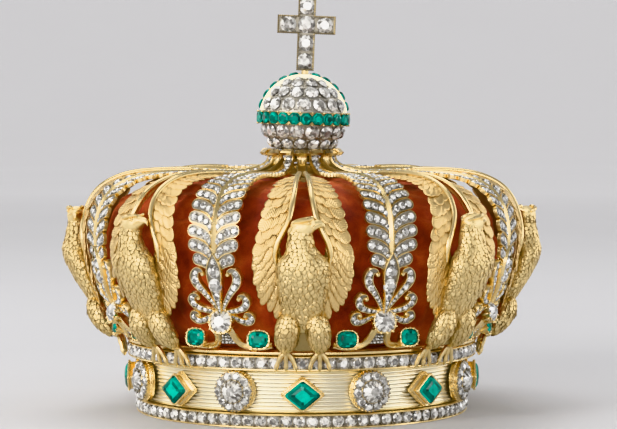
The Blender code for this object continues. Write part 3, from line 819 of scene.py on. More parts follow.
def buildClusters():
    c = cluster
    outer, depth = c["outer"], c["depth"]
    body = [(0.01, depth + 0.1), (3.5, depth + 0.1), (3.7, depth - 0.35), (5.75, depth - 0.75),
            (outer - 0.15, depth - 1.0),
            (outer - 0.15, 1.5), (outer, 1.3), (outer, 0.95), (outer + 0.15, 0.8), (outer + 0.15, 0.0),
            (0.01, 0.0)]
    wall = turned("clusterWall", body, 40, [polishedGold])
    top = turned("clusterTop", [(0.01, depth + 0.16), (3.45, depth + 0.16), (3.6, depth - 0.25),
                                (5.6, depth - 0.62),
                                (5.6, depth - 0.9), (0.01, depth - 0.9)], 40, settingSilver)
    oval = roundedOutline(1, 1, 2.0, 48)
    spots = []
    for place, facing, along, size in ringSpots(oval, c["smallCount"], depth - 0.42, c["small"],
                                                c["smallReach"]):
        spots.append((place, (place[0] * 0.05, place[1] * 0.05, 1), along, size))
    small = copiesAt("clusterSmall", spots, largeStone, diamond, spin=math.pi, tilt=0.06, seed=21)
    big = copiesAt("clusterBig",
                   [((0, 0, depth + 0.12), (0, 0, 1), (0.38, 1, 0), (c["stone"], c["stone"], 3.6))],
                   grandStone, diamond, seed=22)
    claws = ringSpots(oval, 12, depth + 0.35, (0.3, 0.55, 0.42), c["stone"] + 0.08)
    edge = ringSpots(oval, 30, depth - 0.8, 0.27, outer - 0.2)
    flange = ringSpots(oval, 34, 1.15, 0.36, outer + 0.02)
    beads = copiesAt("clusterBeads", claws + edge, fineBead, settingSilver, seed=23)
    grains = copiesAt("clusterFlange", flange, bead, polishedGold, seed=24)
    meshes = outwards([wall, top, small, big, beads, grains], "diamond_cluster_1")
    roundTheCrown("diamondCluster", meshes, "diamonds", "diamond_cluster", armTurn / 2)


lozenge = {"halfX": 5.9, "halfY": 4.85, "depth": 3.3, "drop": 0.7}


def buildLozenges():
    c = lozenge
    outline = lozengeOutline(c["halfX"], c["halfY"], 0.06)
    depth = c["depth"]
    steps = [(1.16, 0.0), (1.16, 0.6), (1.11, 0.75), (1.06, 0.95), (0.98, 1.15), (0.93, 1.3),
             (0.93, depth - 0.7),
             (1.02, depth - 0.45), (1.07, depth - 0.2), (1.03, depth + 0.12), (0.93, depth + 0.2),
             (0.9, depth - 0.1)]
    wall = colletMesh("lozengeWall", outline, steps, polishedGold, corner=30)
    stone = copiesAt("lozengeStone",
                     [((0, 0, depth + 0.1), (0, 0, 1), (0, 1, 0),
                       (c["halfX"] * 0.97, c["halfY"] * 1.14, 3.0))],
                     lozengeEmerald, emerald, seed=31)
    milgrain = copiesAt("lozengeGrain", ringSpots(outline, 52, depth + 0.12, 0.2, 1.0)
                        + ringSpots(outline, 44, 0.85, 0.3, 1.12), bead, polishedGold, seed=32)
    meshes = outwards([wall, stone, milgrain], "emerald_lozenge_1", c["drop"])
    roundTheCrown("emeraldLozenge", meshes, "emerald", "emerald_lozenge")


palmette = {
    "leaflets": 19, "firstLeaflet": 28.0, "lastLeaflet": 94.0,
    # half width of the leaf at distances along the arch
    "edge": [(25, 4.6), (29, 6.2), (34, 7.9), (40, 8.2), (47, 8.0), (54, 7.5), (61, 6.8), (67, 5.8),
             (73, 4.4), (80, 3.1), (88, 2.2), (96, 1.7)],
    # centre lines of the honeysuckle scrolls: across, along and half width
    "drop": [(0, 13.5, 0.6), (0, 17.0, 0.95), (0, 21.0, 1.7), (0, 24.3, 2.35), (0, 27.0, 2.35),
             (0, 29.4, 1.5), (0, 31.6, 0.3)],
    "scrolls": [
        [(0.7, 14.0, 0.55), (2.3, 17.0, 0.8), (4.3, 19.9, 1.05), (6.2, 22.3, 1.35), (6.75, 24.5, 1.45),
         (5.9, 26.2, 1.15), (4.6, 26.3, 0.75), (3.9, 25.2, 0.5)],
        [(1.2, 13.4, 0.6), (3.1, 13.6, 0.85), (5.7, 14.2, 1.0), (7.8, 15.3, 1.2), (8.7, 17.1, 1.25),
         (7.9, 18.6, 0.95), (6.7, 18.6, 0.6), (6.4, 17.7, 0.45)],
        [(1.4, 12.6, 0.6), (4.0, 11.6, 0.8), (5.9, 10.5, 1.05), (7.9, 10.1, 1.2), (9.2, 11.2, 1.2),
         (8.9, 12.7, 0.9), (7.8, 12.9, 0.6), (7.4, 12.2, 0.45)],
    ],
    "pitch": (4.2, 3.0),   # leaflet steps at the foot and at the tip, before they are fitted to the length
    # the pale midrib and the flared top, as the scrolls, and the midrib's section
    "rib": [(0, 31.0, 0.3), (0, 33, 0.85), (0, 40, 0.9), (0, 52, 0.75), (0, 66, 0.55), (0, 84, 0.38),
            (0, 98, 0.3)],
    "ridge": [(-1, 0.3), (-1, 0.9), (-0.35, 1.3), (0, 1.55), (0.35, 1.3), (1, 0.9), (1, 0.3)],
    "curl": [(0, 92, 1.75), (0, 97, 1.55), (0, 101, 1.35), (0, 105, 1.5), (0, 108.5, 1.7), (0, 110.6, 1.6)],
    "largeFrom": 0.75,     # stones of a greater radius get the fuller cut
    "grainsFrom": 0.62,    # and above this one each has four grains
}


def leafletLine(side, at, edge, pitch):   # leaves the midrib steeply, bends outwards and ends broad and round
    bend = [(0.7, 0.0, 0.26), (0.7 + edge * 0.11, pitch * 0.40, 0.34),
            (0.7 + edge * 0.30, pitch * 0.70, 0.42),
            (0.7 + edge * 0.60, pitch * 0.92, 0.47), (edge, pitch * 1.02, 0.475)]
    return [(side * x, at + y - pitch * 0.5, half * pitch) for x, y, half in bend]


def buildPalmetteMeshes():
    c = palmette
    gold, stones, grains = bmesh.new(), [], []
    at = c["firstLeaflet"]
    pitches = np.linspace(*c["pitch"], c["leaflets"])
    pitches *= (c["lastLeaflet"] - at) / pitches.sum()
    for pitch in pitches:
        edge = stopsAt(c["edge"], at + pitch * 0.6)
        for side in (-1, 1):
            points = leafletLine(side, at, edge, pitch)
            outline, line, runs = tapered(points, 4)
            addStrap(gold, outline, rim=0.17, base=-0.1, edgeTop=1.0, floor=0.75)
            stones += stonesAlong(line, runs, fill=0.5, rim=0.2, height=0.84, startGap=0.45, least=0.36,
                                  gap=0.02)
        at += pitch
    for scroll in c["scrolls"]:
        for side in (-1, 1):
            points = [(side * x, y, half) for x, y, half in scroll]
            outline, line, runs = tapered(points, 7)
            addStrap(gold, outline, rim=0.26, base=-0.8, edgeTop=1.0, floor=0.68)
            stones += stonesAlong(line, runs, fill=0.76, rim=0.26, height=0.76, startGap=2.6, least=0.4)
            tip = line[-2]
            addTube(gold, [(tip[0], tip[1], -0.5), (tip[0], tip[1], 0.95), (tip[0], tip[1], 1.3),
                           (tip[0], tip[1], 1.36)],
                    [0.72, 0.72, 0.45, 0.05], 12)
    drop = smoothLine(c["drop"], 6)
    addStrap(gold, drop, rim=0.3, base=-0.8, edgeTop=1.9, floor=1.5)
    stones += [((p[0], p[1], 1.6), *rest) for p, *rest in
               stonesAlong(drop, runsOf(drop), fill=0.76, rim=0.3, startGap=1.6, least=0.42)]
    for spot in stones:
        if spot[3] > c["grainsFrom"]:
            grains += grainsBeside(*spot)
    # the pale midrib, a ridge that narrows upwards, over a backing plate
    rib = bmesh.new()
    addLoft(rib, [[(x + o * half, y, z) for o, z in c["ridge"]] for x, y, half in smoothLine(c["rib"], 6)])
    plate = bmesh.new()
    rows = []
    for at in np.linspace(25.5, 103, 42):
        half = max(stopsAt(c["edge"], at) - 2.7, 0.9)
        rows.append([(x * half, at, z) for x, z in ((-1, -0.45), (-1, 0.1), (0, 0.15), (1, 0.1), (1, -0.45),
                                                    (0, -0.5))])
    addLoft(plate, rows)
    curl = bmesh.new()
    curlLine = smoothLine(c["curl"], 6)
    addStrap(curl, curlLine, rim=0.25, base=-0.6, edgeTop=0.75, floor=0.5)
    stones += [((p[0], p[1], 0.55), *rest) for p, *rest in
               stonesAlong(curlLine, runsOf(curlLine), rim=0.25, startGap=0.2)]
    meshes = [newMesh("palmetteGold", gold, [polishedGold, settingSilver]),
              newMesh("palmetteRib", rib, polishedGold),
              newMesh("palmettePlate", plate, dullGoldAndShade),
              newMesh("palmetteCurl", curl, [polishedGold, settingSilver]),
              copiesAt("palmetteStones", [s for s in stones if s[3] > c["largeFrom"]], largeStone, diamond,
                       math.pi, 0.07, seed=41),
              copiesAt("palmetteSmall", [s for s in stones if s[3] <= c["largeFrom"]], smallStone, diamond,
                       math.pi, 0.09, seed=42),
              copiesAt("palmetteGrains", grains, bead, settingSilver, seed=43)]
    return [flatToMetres(mesh) for mesh in meshes]


def buildPalmettes():
    roundTheCrown("palmette", buildPalmetteMeshes(), "diamonds", "palmette", armTurn / 2)


foot = {
    "diamond": 3.5, "emeraldX": 3.1, "emeraldY": 2.55, "emeraldTurn": 9.8,
    # the forked strap as (across, radius, height, half width)
    "fork": [(12.6, 55.1, 25.2), (9.6, 55.0, 24.5), (6.4, 55.2, 24.6), (4.3, 55.9, 25.2), (3.1, 57.3, 26.6),
             (2.5, 59.2, 28.6), (1.9, 60.6, 30.6)],
    # its section, and the corners of the paved field between its two branches as (across, radius, height)
    "strap": [(-0.95, -0.5), (-0.95, 0.35), (-0.6, 0.62), (-0.15, 0.5), (0.15, 0.5), (0.6, 0.62),
              (0.95, 0.35), (0.95, -0.5)],
    "field": [(-2.6, 55.9, 25.3), (-1.2, 59.5, 29.4), (1.2, 59.5, 29.4), (2.6, 55.9, 25.3)],
    "paving": [(25.9, (-1.7, -0.6, 0.6, 1.7)), (26.9, (-1.4, -0.45, 0.5, 1.4)), (27.9, (-1.05, 0, 1.05)),
               (28.8, (-0.6, 0.5))],
    # the collets' walls as (scale, height)
    "smallWall": [(0.5, -1.6), (0.78, -1.4), (0.92, -0.2), (1.06, 1.3), (1.08, 1.75), (0.98, 1.7),
                  (0.95, 1.2)],
    "bigWall": [(0.45, -2.4), (0.72, -2.1), (0.86, -0.8), (1.0, 1.1), (1.03, 1.8), (0.95, 1.75), (0.92, 1.2)],
}


# turns a piece made facing +Z to face out of the crown
def standing(mesh, radius, height, turn=0.0, lean=0.0):
    mesh.transform(Matrix.Rotation(turn, 4, "Z") @ Matrix.Translation(Vector((0, -radius, height)) * mm)
                   @ Matrix.Rotation(math.pi / 2 + lean, 4, "X"))
    return mesh


def clawSpots(outline, count, height, size, reach):
    return [(place, (along[0] * 0.5, along[1] * 0.5, 1), along, size)
            for place, _, along, size in ringSpots(outline, count, height, size, reach)]


def buildPalmetteFeet():
    c = foot
    meshes = []
    fork = bmesh.new()
    for side in (-1, 1):
        line = smoothLine([(side * x, -math.sqrt(r * r - x * x), z) for x, r, z in c["fork"]], 6)
        rings = []
        for i, point in enumerate(line):
            way = Vector(line[min(i + 1, len(line) - 1)] - line[max(i - 1, 0)]).normalized()
            out = Vector((point[0], point[1], 12.0)).normalized()
            across = way.cross(out).normalized()
            out = across.cross(way).normalized()
            place = Vector(point)
            rings.append([place + across * a + out * b for a, b in c["strap"]])
        addLoft(fork, rings)
        # small pads where the strap's ends are soldered down
        addTube(fork, [(side * 6.6, -54.6, 23.9), (side * 6.6, -54.6, 24.6), (side * 6.6, -54.6, 25.1)],
                [1.3, 1.1, 0.5], 12)
    meshes.append(newMesh("footFork", fork, polishedGold))
    inset = bmesh.new()
    addLoft(inset, [[(x * k, -(r + lift), z) for x, r, z in c["field"]]
                    for k, lift in ((1.0, 0.1), (0.98, 0.1), (1.0, -1.0))])
    meshes.append(newMesh("footInset", inset, settingSilver))
    paving = []
    tilt = Vector((0, -1.0, 0.85)).normalized()
    for z, xs in c["paving"]:
        radius = 55.9 + (z - 25.3) * 0.878 + 0.2
        paving += [((x, -radius, z), tilt, (0, 0.6, 1), 0.5) for x in xs]
    meshes.append(copiesAt("footPaving", paving, smallStone, diamond, math.pi, 0.1, seed=51))
    oval = roundedOutline(c["emeraldX"], c["emeraldY"], 3.0, 24)
    for side in (-1, 1):
        turn = side * math.radians(c["emeraldTurn"])
        wall = colletMesh("footCollet", oval, c["smallWall"], polishedGold)
        stone = copiesAt("footEmerald",
                         [((0, 0, 1.45), (0, 0, 1), (0, 1, 0), (c["emeraldX"], c["emeraldY"], 2.9))],
                         ovalEmerald, emerald, seed=52 + side)
        claws = copiesAt("footClaws", clawSpots(oval, 14, 1.75, (0.33, 0.3, 0.5), 1.02), fineBead,
                         polishedGold, seed=53)
        meshes += [standing(mesh, 57.3, 26.9, turn, -0.12) for mesh in (wall, stone, claws)]
        stem = bmesh.new()
        addTube(stem, [(0, 0, 0.3), (0, -1.2, -0.6), (0, -2.6, -1.4)], [0.8, 0.6, 0.8], 10)
        meshes.append(standing(newMesh("footStem", stem, polishedGold), 57.0, 27.0, turn))
    cushion = roundedOutline(c["diamond"], c["diamond"] * 0.96, 2.5, 28)
    wall = colletMesh("footBig", cushion, c["bigWall"], polishedGold)
    stone = copiesAt("footDiamond",
                     [((0, 0, 1.55), (0, 0, 1), (0.38, 1, 0), (c["diamond"], c["diamond"] * 0.96, 3.4))],
                     grandStone, diamond, seed=55)
    claws = copiesAt("footBigClaws", clawSpots(cushion, 12, 1.85, (0.36, 0.36, 0.62), 1.0), fineBead,
                     polishedGold, seed=56)
    flutes = copiesAt("footFlutes", [((p[0], p[1], 0.2), (p[0], p[1], 0.0), (0, 0, 1), (0.5, 1.5, 0.35))
                                     for p, f, a, s in
                                     ringSpots(cushion, 12, 0.0, 1.0, 0.97)], fineBead, polishedGold, seed=57)
    meshes += [standing(mesh, 61.0, 32.2, 0.0, -0.16) for mesh in (wall, stone, claws, flutes)]
    roundTheCrown("palmetteFoot", meshes, "polished_gold", "palmette_foot", armTurn / 2)


wing = {
    # half widths at distances along the arch: the feather tips outside, the polished rib inside
    "edge": [(9.5, 5.0), (12, 7.4), (15.5, 10.9), (19, 12.9), (24, 13.8), (30, 13.9), (36, 12.9), (42, 11.4),
             (48, 9.9), (54, 8.6), (60, 7.4), (66, 6.0), (72, 4.6), (77, 3.2)],
    "rib": [(77, 0.85), (66, 1.15), (57, 1.8), (49, 2.5), (43, 3.5), (40, 4.5), (37.2, 6.0), (34.4, 7.4),
            (31.5, 8.0), (28.5, 7.6)],
    "inner": [(9.5, 2.0), (20, 4.5), (26, 6.5), (28.5, 7.4), (31.5, 8.0), (34.4, 7.4), (37.2, 6.0), (40, 4.5),
              (43, 3.5), (49, 2.5), (57, 1.8), (66, 1.15), (77, 0.85)],
    # share of the width, lift
    "plate": [(0, -0.5), (0, 0.35), (0.3, 0.6), (0.7, 0.5), (1, 0.15), (1, -0.5)],
    # the stem as (across, along, half width), its flared end as (along, half width) and that end's section
    "stem": [(0, 65.5, 2.2), (0, 72, 2.2), (0, 84, 1.95), (0, 95, 1.6), (0, 101, 1.45), (0, 103.5, 1.5)],
    "flare": [(101.0, 1.4), (103.0, 1.45), (105.0, 1.6), (107.0, 1.9), (109.0, 2.3), (110.4, 2.5),
              (110.9, 1.9)],
    "flareSection": [(-1, -0.3), (-1, 0.55), (-0.5, 0.8), (0, 0.5), (0.5, 0.8), (1, 0.55), (1, -0.3),
                     (0, -0.45)],
    # rows from the tips towards the rib: share of the way from rib to edge, first and last place, count,
    # feather length, width and height
    "rows": [(1.0, 31.5, 75.5, 14, 6.0, 4.0, 0.25), (0.74, 33.0, 73.0, 14, 5.1, 3.7, 0.5),
             (0.45, 34.5, 70.0, 13, 4.6, 3.4, 0.75)],
    # covers over the roots of the long quills: share, count, length, width
    "covers": [(0.84, 6, 7.5, 3.0), (0.6, 6, 6.5, 2.8), (0.36, 5, 5.5, 2.6)],
    "quills": 10,
}


# tips along the outer edge, then shorter rows towards the rib, the last on top
def wingFeathers(side, pick):
    spots = []

    def lay(tipX, tipY, length, width, angle, height, lean=0.32):
        way = Vector((math.cos(angle), -math.sin(angle), 0.0))
        root = (tipX - way.x * length, tipY - way.y * length)
        facing = Vector((-0.16 * way.x + lean, -0.16 * way.y, 1.0)).normalized()
        spots.append(((side * root[0], root[1], height), (side * facing.x, facing.y, facing.z),
                      (side * way.x, way.y, 0.0),
                      (width, length, 2.6)))

    for j in range(wing["quills"]):   # the long quills of the lower wing
        share = j / (wing["quills"] - 1)
        tipY = 28.5 - 18.5 * share
        tipX = stopsAt(wing["edge"], tipY)
        rootX, rootY = 10.2 - 5.4 * share, 38.0 - 10.0 * share
        length = math.hypot(tipX - rootX, tipY - rootY)
        angle = math.atan2(rootY - tipY, tipX - rootX)
        lay(tipX, tipY, length, 3.4 - 0.3 * share, angle, 0.1 + 0.04 * (1 - share))
    for share, first, last, count, length, width, height in wing["rows"]:
        for j in range(count):
            along = j / (count - 1)
            tipY = first + (last - first) * (along ** 0.95)
            inner, outer = stopsAt(wing["inner"], tipY), stopsAt(wing["edge"], tipY)
            room = min((outer - inner) / 8.0, 1.0)
            angle = math.radians(62 - 30 * along + pick.uniform(-3, 3))
            lay(inner + (outer - inner) * share, tipY - 0.8, length * (0.5 + 0.5 * room),
                width * (0.55 + 0.45 * room),
                angle, height * (0.5 + 0.5 * room))
    for row, (shareX, count, length, width) in enumerate(wing["covers"]):
        for j in range(count):
            along = j / (count - 1)
            tipY = 29.0 - 11.5 * along
            inner, outer = stopsAt(wing["inner"], tipY), stopsAt(wing["edge"], tipY)
            angle = math.radians(60 + 18 * along + pick.uniform(-3, 3))
            lay(inner + (outer - inner) * shareX, tipY, length, width, angle, 0.35 + 0.22 * row)
    return spots


def buildWings():
    plate, ribs, stem = bmesh.new(), bmesh.new(), bmesh.new()
    for side in (-1, 1):
        rows = []
        for at in np.linspace(11.5, 76.5, 44):
            inner = stopsAt(wing["inner"], at)
            outer = max(stopsAt(wing["edge"], at) - 1.9, inner + 0.3)
            rows.append([(side * (inner + (outer - inner) * k), at, z) for k, z in wing["plate"]])
        addLoft(plate, rows)
        line = smoothLine([(side * x, y, 1.15) for y, x in wing["rib"]], 6)
        radii = np.interp(np.linspace(0, 1, len(line)), [0, 0.2, 0.6, 0.85, 1], [0.7, 0.8, 0.9, 0.95, 0.5])
        addTube(ribs, line, radii, 10)
    # the dull channel from the wings to the crossing, and its polished flared curl
    addStrap(stem, smoothLine(wing["stem"], 6), rim=0.45, base=-0.6, edgeTop=1.0, floor=0.25)
    flare = bmesh.new()
    rings = []
    for y, half in wing["flare"]:
        rings.append([(x * half, y, z) for x, z in wing["flareSection"]])
    addLoft(flare, rings)
    pick = random.Random(5)
    spots = wingFeathers(1, pick) + wingFeathers(-1, pick)
    meshes = [newMesh("wingPlate", plate, chasedGold), newMesh("wingRibs", ribs, polishedGold),
              newMesh("wingStem", stem, [dullGoldAndShade, dullGoldAndShade]), newMesh("wingFlare", flare, polishedGold),
              copiesAt("wingFeathers", spots, feather, featherGold, spin=0.03, tilt=0.03, seed=61)]
    return [flatToMetres(mesh) for mesh in meshes]


bird = {
    # height, middle, half width, radius of the front, radius of the back: vent to crown of the head
    "body": [(29.6, 0, 1.2, 62.6, 60.6), (32.0, 0, 3.6, 65.0, 60.8), (35.0, 0, 5.6, 67.2, 61.5),
             (38.5, 0, 6.5, 69.6, 62.6), (42.5, 0, 7.15, 72.0, 64.0), (46.5, 0, 7.5, 74.0, 65.4),
             (49.6, 0, 7.4, 74.7, 66.2), (51.4, 0, 6.5, 74.6, 66.6), (52.9, -0.1, 5.2, 74.2, 67.0),
             (54.5, -0.4, 4.2, 73.8, 67.5), (56.5, -0.8, 3.65, 73.4, 67.9), (58.5, -0.8, 3.35, 73.1, 68.1),
             (60.3, -0.5, 3.0, 72.9, 68.3), (61.4, -0.2, 2.4, 72.5, 68.7), (62.0, 0, 1.3, 71.8, 69.6)],
    # the thigh from hip to ankle: across, radius, height, half width, half depth
    "thigh": [(3.9, 64.0, 35.6, 0.9, 0.9), (4.0, 64.3, 34.3, 2.6, 2.3), (4.3, 63.9, 31.6, 3.4, 3.1),
              (4.6, 62.6, 28.9, 3.5, 3.1), (4.8, 61.0, 26.6, 3.1, 2.6), (4.95, 59.7, 25.0, 2.3, 1.9),
              (5.0, 59.0, 24.0, 1.3, 1.2)],
    "tailSection": [(-1, 0.5), (-1, 0.0), (-0.7, -0.35), (-0.35, -0.1), (0, -0.5), (0.35, -0.1), (0.7, -0.35),
                    (1, 0.0), (1, 0.5)],
    "tail": [(36.0, 1.6, 64.0), (33.0, 2.1, 62.8), (29.5, 2.5, 61.2), (26.5, 2.9, 60.2), (24.6, 3.1, 59.6),
             (24.0, 2.3, 59.4)],
    # the head in profile, turned to the side and a little up: across, top, bottom, half thickness
    "head": [(-3.5, 61.6, 60.6, 0.4), (-3.1, 62.0, 58.9, 1.6), (-2.0, 62.6, 57.8, 2.5),
             (0.0, 63.0, 57.6, 2.9), (1.5, 63.3, 58.0, 2.75), (2.5, 63.4, 58.6, 2.3), (3.0, 63.1, 59.2, 1.75),
             (3.4, 62.7, 59.6, 1.45), (4.3, 62.65, 60.2, 1.1), (5.2, 62.45, 60.7, 0.85),
             (5.9, 62.0, 60.7, 0.6), (6.3, 61.4, 60.3, 0.35), (6.35, 60.7, 60.0, 0.12)],
    "headRadius": 70.4, "sides": 28,
    # thickness of a toe from its root to the claw's point
    "toe": [(0, 0.75), (0.25, 0.72), (0.33, 0.8), (0.45, 0.6), (0.6, 0.68), (0.72, 0.52), (0.8, 0.4),
            (1, 0.08)],
}


def powered(value, power):   # keeps the sign
    return math.copysign(abs(value) ** power, value)


def bodyRings(stations, sides, power):
    rings = []
    for z, centre, half, front, back in smoothLine(stations, 5):
        middle, depth = (front + back) / 2, (front - back) / 2
        ring = []
        for k in range(sides):
            a = k * math.tau / sides
            c, s = math.cos(a), math.sin(a)
            ring.append(Vector((centre + half * powered(c, 2 / power),
                                -middle - depth * powered(s, 2 / power), z)))
        rings.append(ring)
    return rings


def thighRings(side, sides=18):
    rings = []
    stations = smoothLine(bird["thigh"], 4)
    for i, (x, radius, z, half, depth) in enumerate(stations):
        way = Vector(stations[min(i + 1, len(stations) - 1)][:3] - stations[max(i - 1, 0)][:3])
        way = Vector((0.0, -way.y, way.z)).normalized()
        out = Vector((0.0, way.z, -way.y)).normalized()
        if out.y > 0:
            out = -out
        place = Vector((side * x, -radius, z))
        rings.append([place + Vector((half * math.cos(k * math.tau / sides), 0, 0))
                      + out * depth * math.sin(k * math.tau / sides)
                      for k in range(sides)])
    return rings


# staggered rows of small feathers
def scaleSpots(rings, rowGap, width, length, down, pick, keep=lambda p: True):
    spots = []
    sides = len(rings[0])
    runs = [0.0]
    for one, two in zip(rings, rings[1:]):
        runs.append(runs[-1] + (two[0] - one[0]).length * 0.5
                    + (two[sides // 4] - one[sides // 4]).length * 0.5)
    at, row = rowGap * 0.5, 0
    while at < runs[-1] - 0.3:
        i = min(int(np.searchsorted(runs, at)), len(rings) - 1)
        share = (at - runs[i - 1]) / max(runs[i] - runs[i - 1], 1e-6)
        ring = [a.lerp(b, share) for a, b in zip(rings[i - 1], rings[i])]
        next_ = rings[i]
        around = sum((ring[k] - ring[k - 1]).length for k in range(sides))
        count = max(5, round(around / (width * 0.82)))
        for k in range(count):
            f = ((k + 0.5 * (row % 2)) / count * sides + pick.uniform(-0.2, 0.2)) % sides
            a, b, s = int(f) % sides, (int(f) + 1) % sides, f - int(f)
            place = ring[a].lerp(ring[b], s)
            level = (ring[b] - ring[a]).normalized()
            upward = (next_[a] - rings[i - 1][a]).normalized()
            normal = level.cross(upward)
            middle = sum(ring, Vector()) / sides
            if normal.dot(place - middle) < 0:
                normal = -normal
            along = -upward if down else upward
            if not keep(place) or normal.length < 0.5:
                continue
            facing = (normal.normalized() - along * 0.07).normalized()
            grow = pick.uniform(0.8, 1.2)
            spots.append((tuple(place - along * (length * 0.35 + pick.uniform(-0.2, 0.2))), tuple(facing),
                          tuple(along),
                          (width * grow, length * grow, 0.26)))
        at += rowGap
        row += 1
    return spots


def buildHead():
    shape = bmesh.new()
    rings = []
    radius = bird["headRadius"]
    for x, top, bottom, half in smoothLine(bird["head"], 4):
        half = max(half, 0.05)
        middle, tall = (top + bottom) / 2, max((top - bottom) / 2, 0.05)
        rings.append([(x, -radius + half * powered(math.cos(a), 0.85), middle
                       + tall * powered(math.sin(a), 0.8))
                      for a in (k * math.tau / 16 for k in range(16))])
    addLoft(shape, rings)
    brows = bmesh.new()
    for side in (-1, 1):   # the brow ridge that runs forward over the eye, and the line of the beak
        brow = [(-3.1, side * 1.1, 61.8), (-1.8, side * 2.2, 62.3), (0.2, side * 2.7, 62.7),
                (1.7, side * 2.45, 63.0),
                (2.7, side * 1.6, 63.2), (3.2, side * 1.0, 63.0)]
        addTube(brows, smoothLine([(x, -radius + y, z) for x, y, z in brow], 4),
                np.interp(np.linspace(0, 1, 21), [0, 0.3, 0.75, 1], [0.3, 0.55, 0.6, 0.25]), 8)
        gape = [(2.4, side * 2.1, 60.6), (3.4, side * 1.45, 61.1), (4.5, side * 1.05, 61.35),
                (5.5, side * 0.7, 61.3)]
        addTube(brows, smoothLine([(x, -radius + y, z) for x, y, z in gape], 3),
                np.interp(np.linspace(0, 1, 10), [0, 0.5, 1], [0.3, 0.3, 0.12]), 6)
    head = newMesh("eagleHead", shape, chasedGold, corner=55)
    eyes = []
    for side in (-1, 1):
        place = (1.6, -radius + side * 2.5, 61.9)
        eyes.append((place, (0, side, 0.1), (1, 0, 0), 0.5))
        for k in range(12):
            a = k * math.tau / 12
            eyes.append(((place[0] + 0.8 * math.cos(a), place[1] - side * 0.1, place[2] + 0.65 * math.sin(a)),
                         (0, side, 0),
                         (1, 0, 0), 0.22))
    return [head, newMesh("eagleBrows", brows, polishedGold),
            copiesAt("eagleEyes", eyes, fineBead, polishedGold, seed=62)]


def buildLegs():
    shape = bmesh.new()
    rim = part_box("upper_stone_rim")[1][0] / mm
    for side in (-1, 1):
        x = side * 4.95
        knuckle = (x, -rim - 2.9, 23.4)
        addTube(shape, smoothLine([(x, -59.4, 25.0), (x, -58.6, 24.1), knuckle], 4),
                np.linspace(1.15, 0.8, 9), 10)
        for spread in (-2.9, 0.1, 3.0):
            toe = [(x, knuckle[1] + 0.2, 23.3), (x + spread * 0.35, -rim - 2.4, 22.5),
                   (x + spread * 0.72, -rim - 1.7, 20.6),
                   (x + spread * 0.95, -rim - 1.3, 18.9), (x + spread, -rim - 0.9, 17.9),
                   (x + spread, -rim - 0.5, 17.4)]
            line = smoothLine(toe, 4)
            radii = [stopsAt(bird["toe"], share) for share in np.linspace(0, 1, len(line))]
            addTube(shape, line, radii, 8)
    return newMesh("eagleLegs", shape, polishedGold)


def buildEagleMeshes():
    pick = random.Random(9)
    rings = bodyRings(bird["body"], bird["sides"], 2.25)
    shape = bmesh.new()
    addLoft(shape, rings)
    thighs = [thighRings(side) for side in (-1, 1)]
    for thigh in thighs:
        addLoft(shape, thigh)
    tail = []
    for z, half, radius in smoothLine(bird["tail"], 4):
        tail.append([(x * half, -radius + y, z) for x, y in bird["tailSection"]])
    plume = bmesh.new()
    addLoft(plume, tail)
    # painted shade: the tail plate between the thighs takes the dark gold
    tailMesh = newMesh("eagleTail", plume, dullGoldAndShade, corner=60)
    body = newMesh("eagleBody", shape, chasedGold, corner=60)

    def shownBody(p):
        return -p.y > 64.5 and not (p.z < 33.5 and abs(p.x) > 2.5)
    spots = scaleSpots(rings, 1.2, 1.6, 2.0, True, pick, shownBody)
    for thigh in thighs:
        spots += scaleSpots(thigh, 1.2, 1.5, 2.1, False, pick)
    scales = copiesAt("eagleScales", spots, bodyScale, chasedGold, spin=0.4, tilt=0.04, seed=63)
    return [body, scales, tailMesh, buildLegs(), *buildHead(), *buildWings()]


def buildEagles():
    roundTheCrown("eagle", buildEagleMeshes(), "chased_gold", "eagle")


cap = {
    "around": 192, "perStep": 5, "wall": 1.4,
    "swell": 1.25,     # how far the velvet stands out between two arms, mm
    "fold": 1.25, "crease": 4.5, "room": 1.2,
    "puffFrom": 12.0, "puffOver": 18.0, "hem": 22.5, "hemOver": 7.0,   # where the swelling starts and stops
    "gather": 0.4, "gathers": 56, "gatherAt": 29.0, "gatherReach": 9.0,
    # radius and height of the outside from the crown of the cap down to the hem in the headband
    "profile": [(2.0, 69.6), (12.0, 69.7), (20.0, 70.6), (30.0, 71.0), (41.0, 70.3), (49.5, 68.4),
                (55.2, 65.2), (58.8, 60.4), (60.5, 54.0), (60.6, 47.5), (59.0, 41.0), (56.2, 34.6),
                (52.8, 28.8), (49.2, 24.6), (47.4, 22.0), (47.4, 15.0), (47.4, 8.2)],
}


clothValues = {
    "quality": 5, "mass": 0.25, "use_pressure": True, "uniform_pressure_force": 3.0, "shrink_min": -0.05,
    "tension_stiffness": 12.0, "compression_stiffness": 12.0, "shear_stiffness": 6.0,
    "bending_stiffness": 0.4,
    "vertex_group_mass": "held",
}


def held(share):   # kept between nothing and all
    return max(0.0, min(1.0, share))


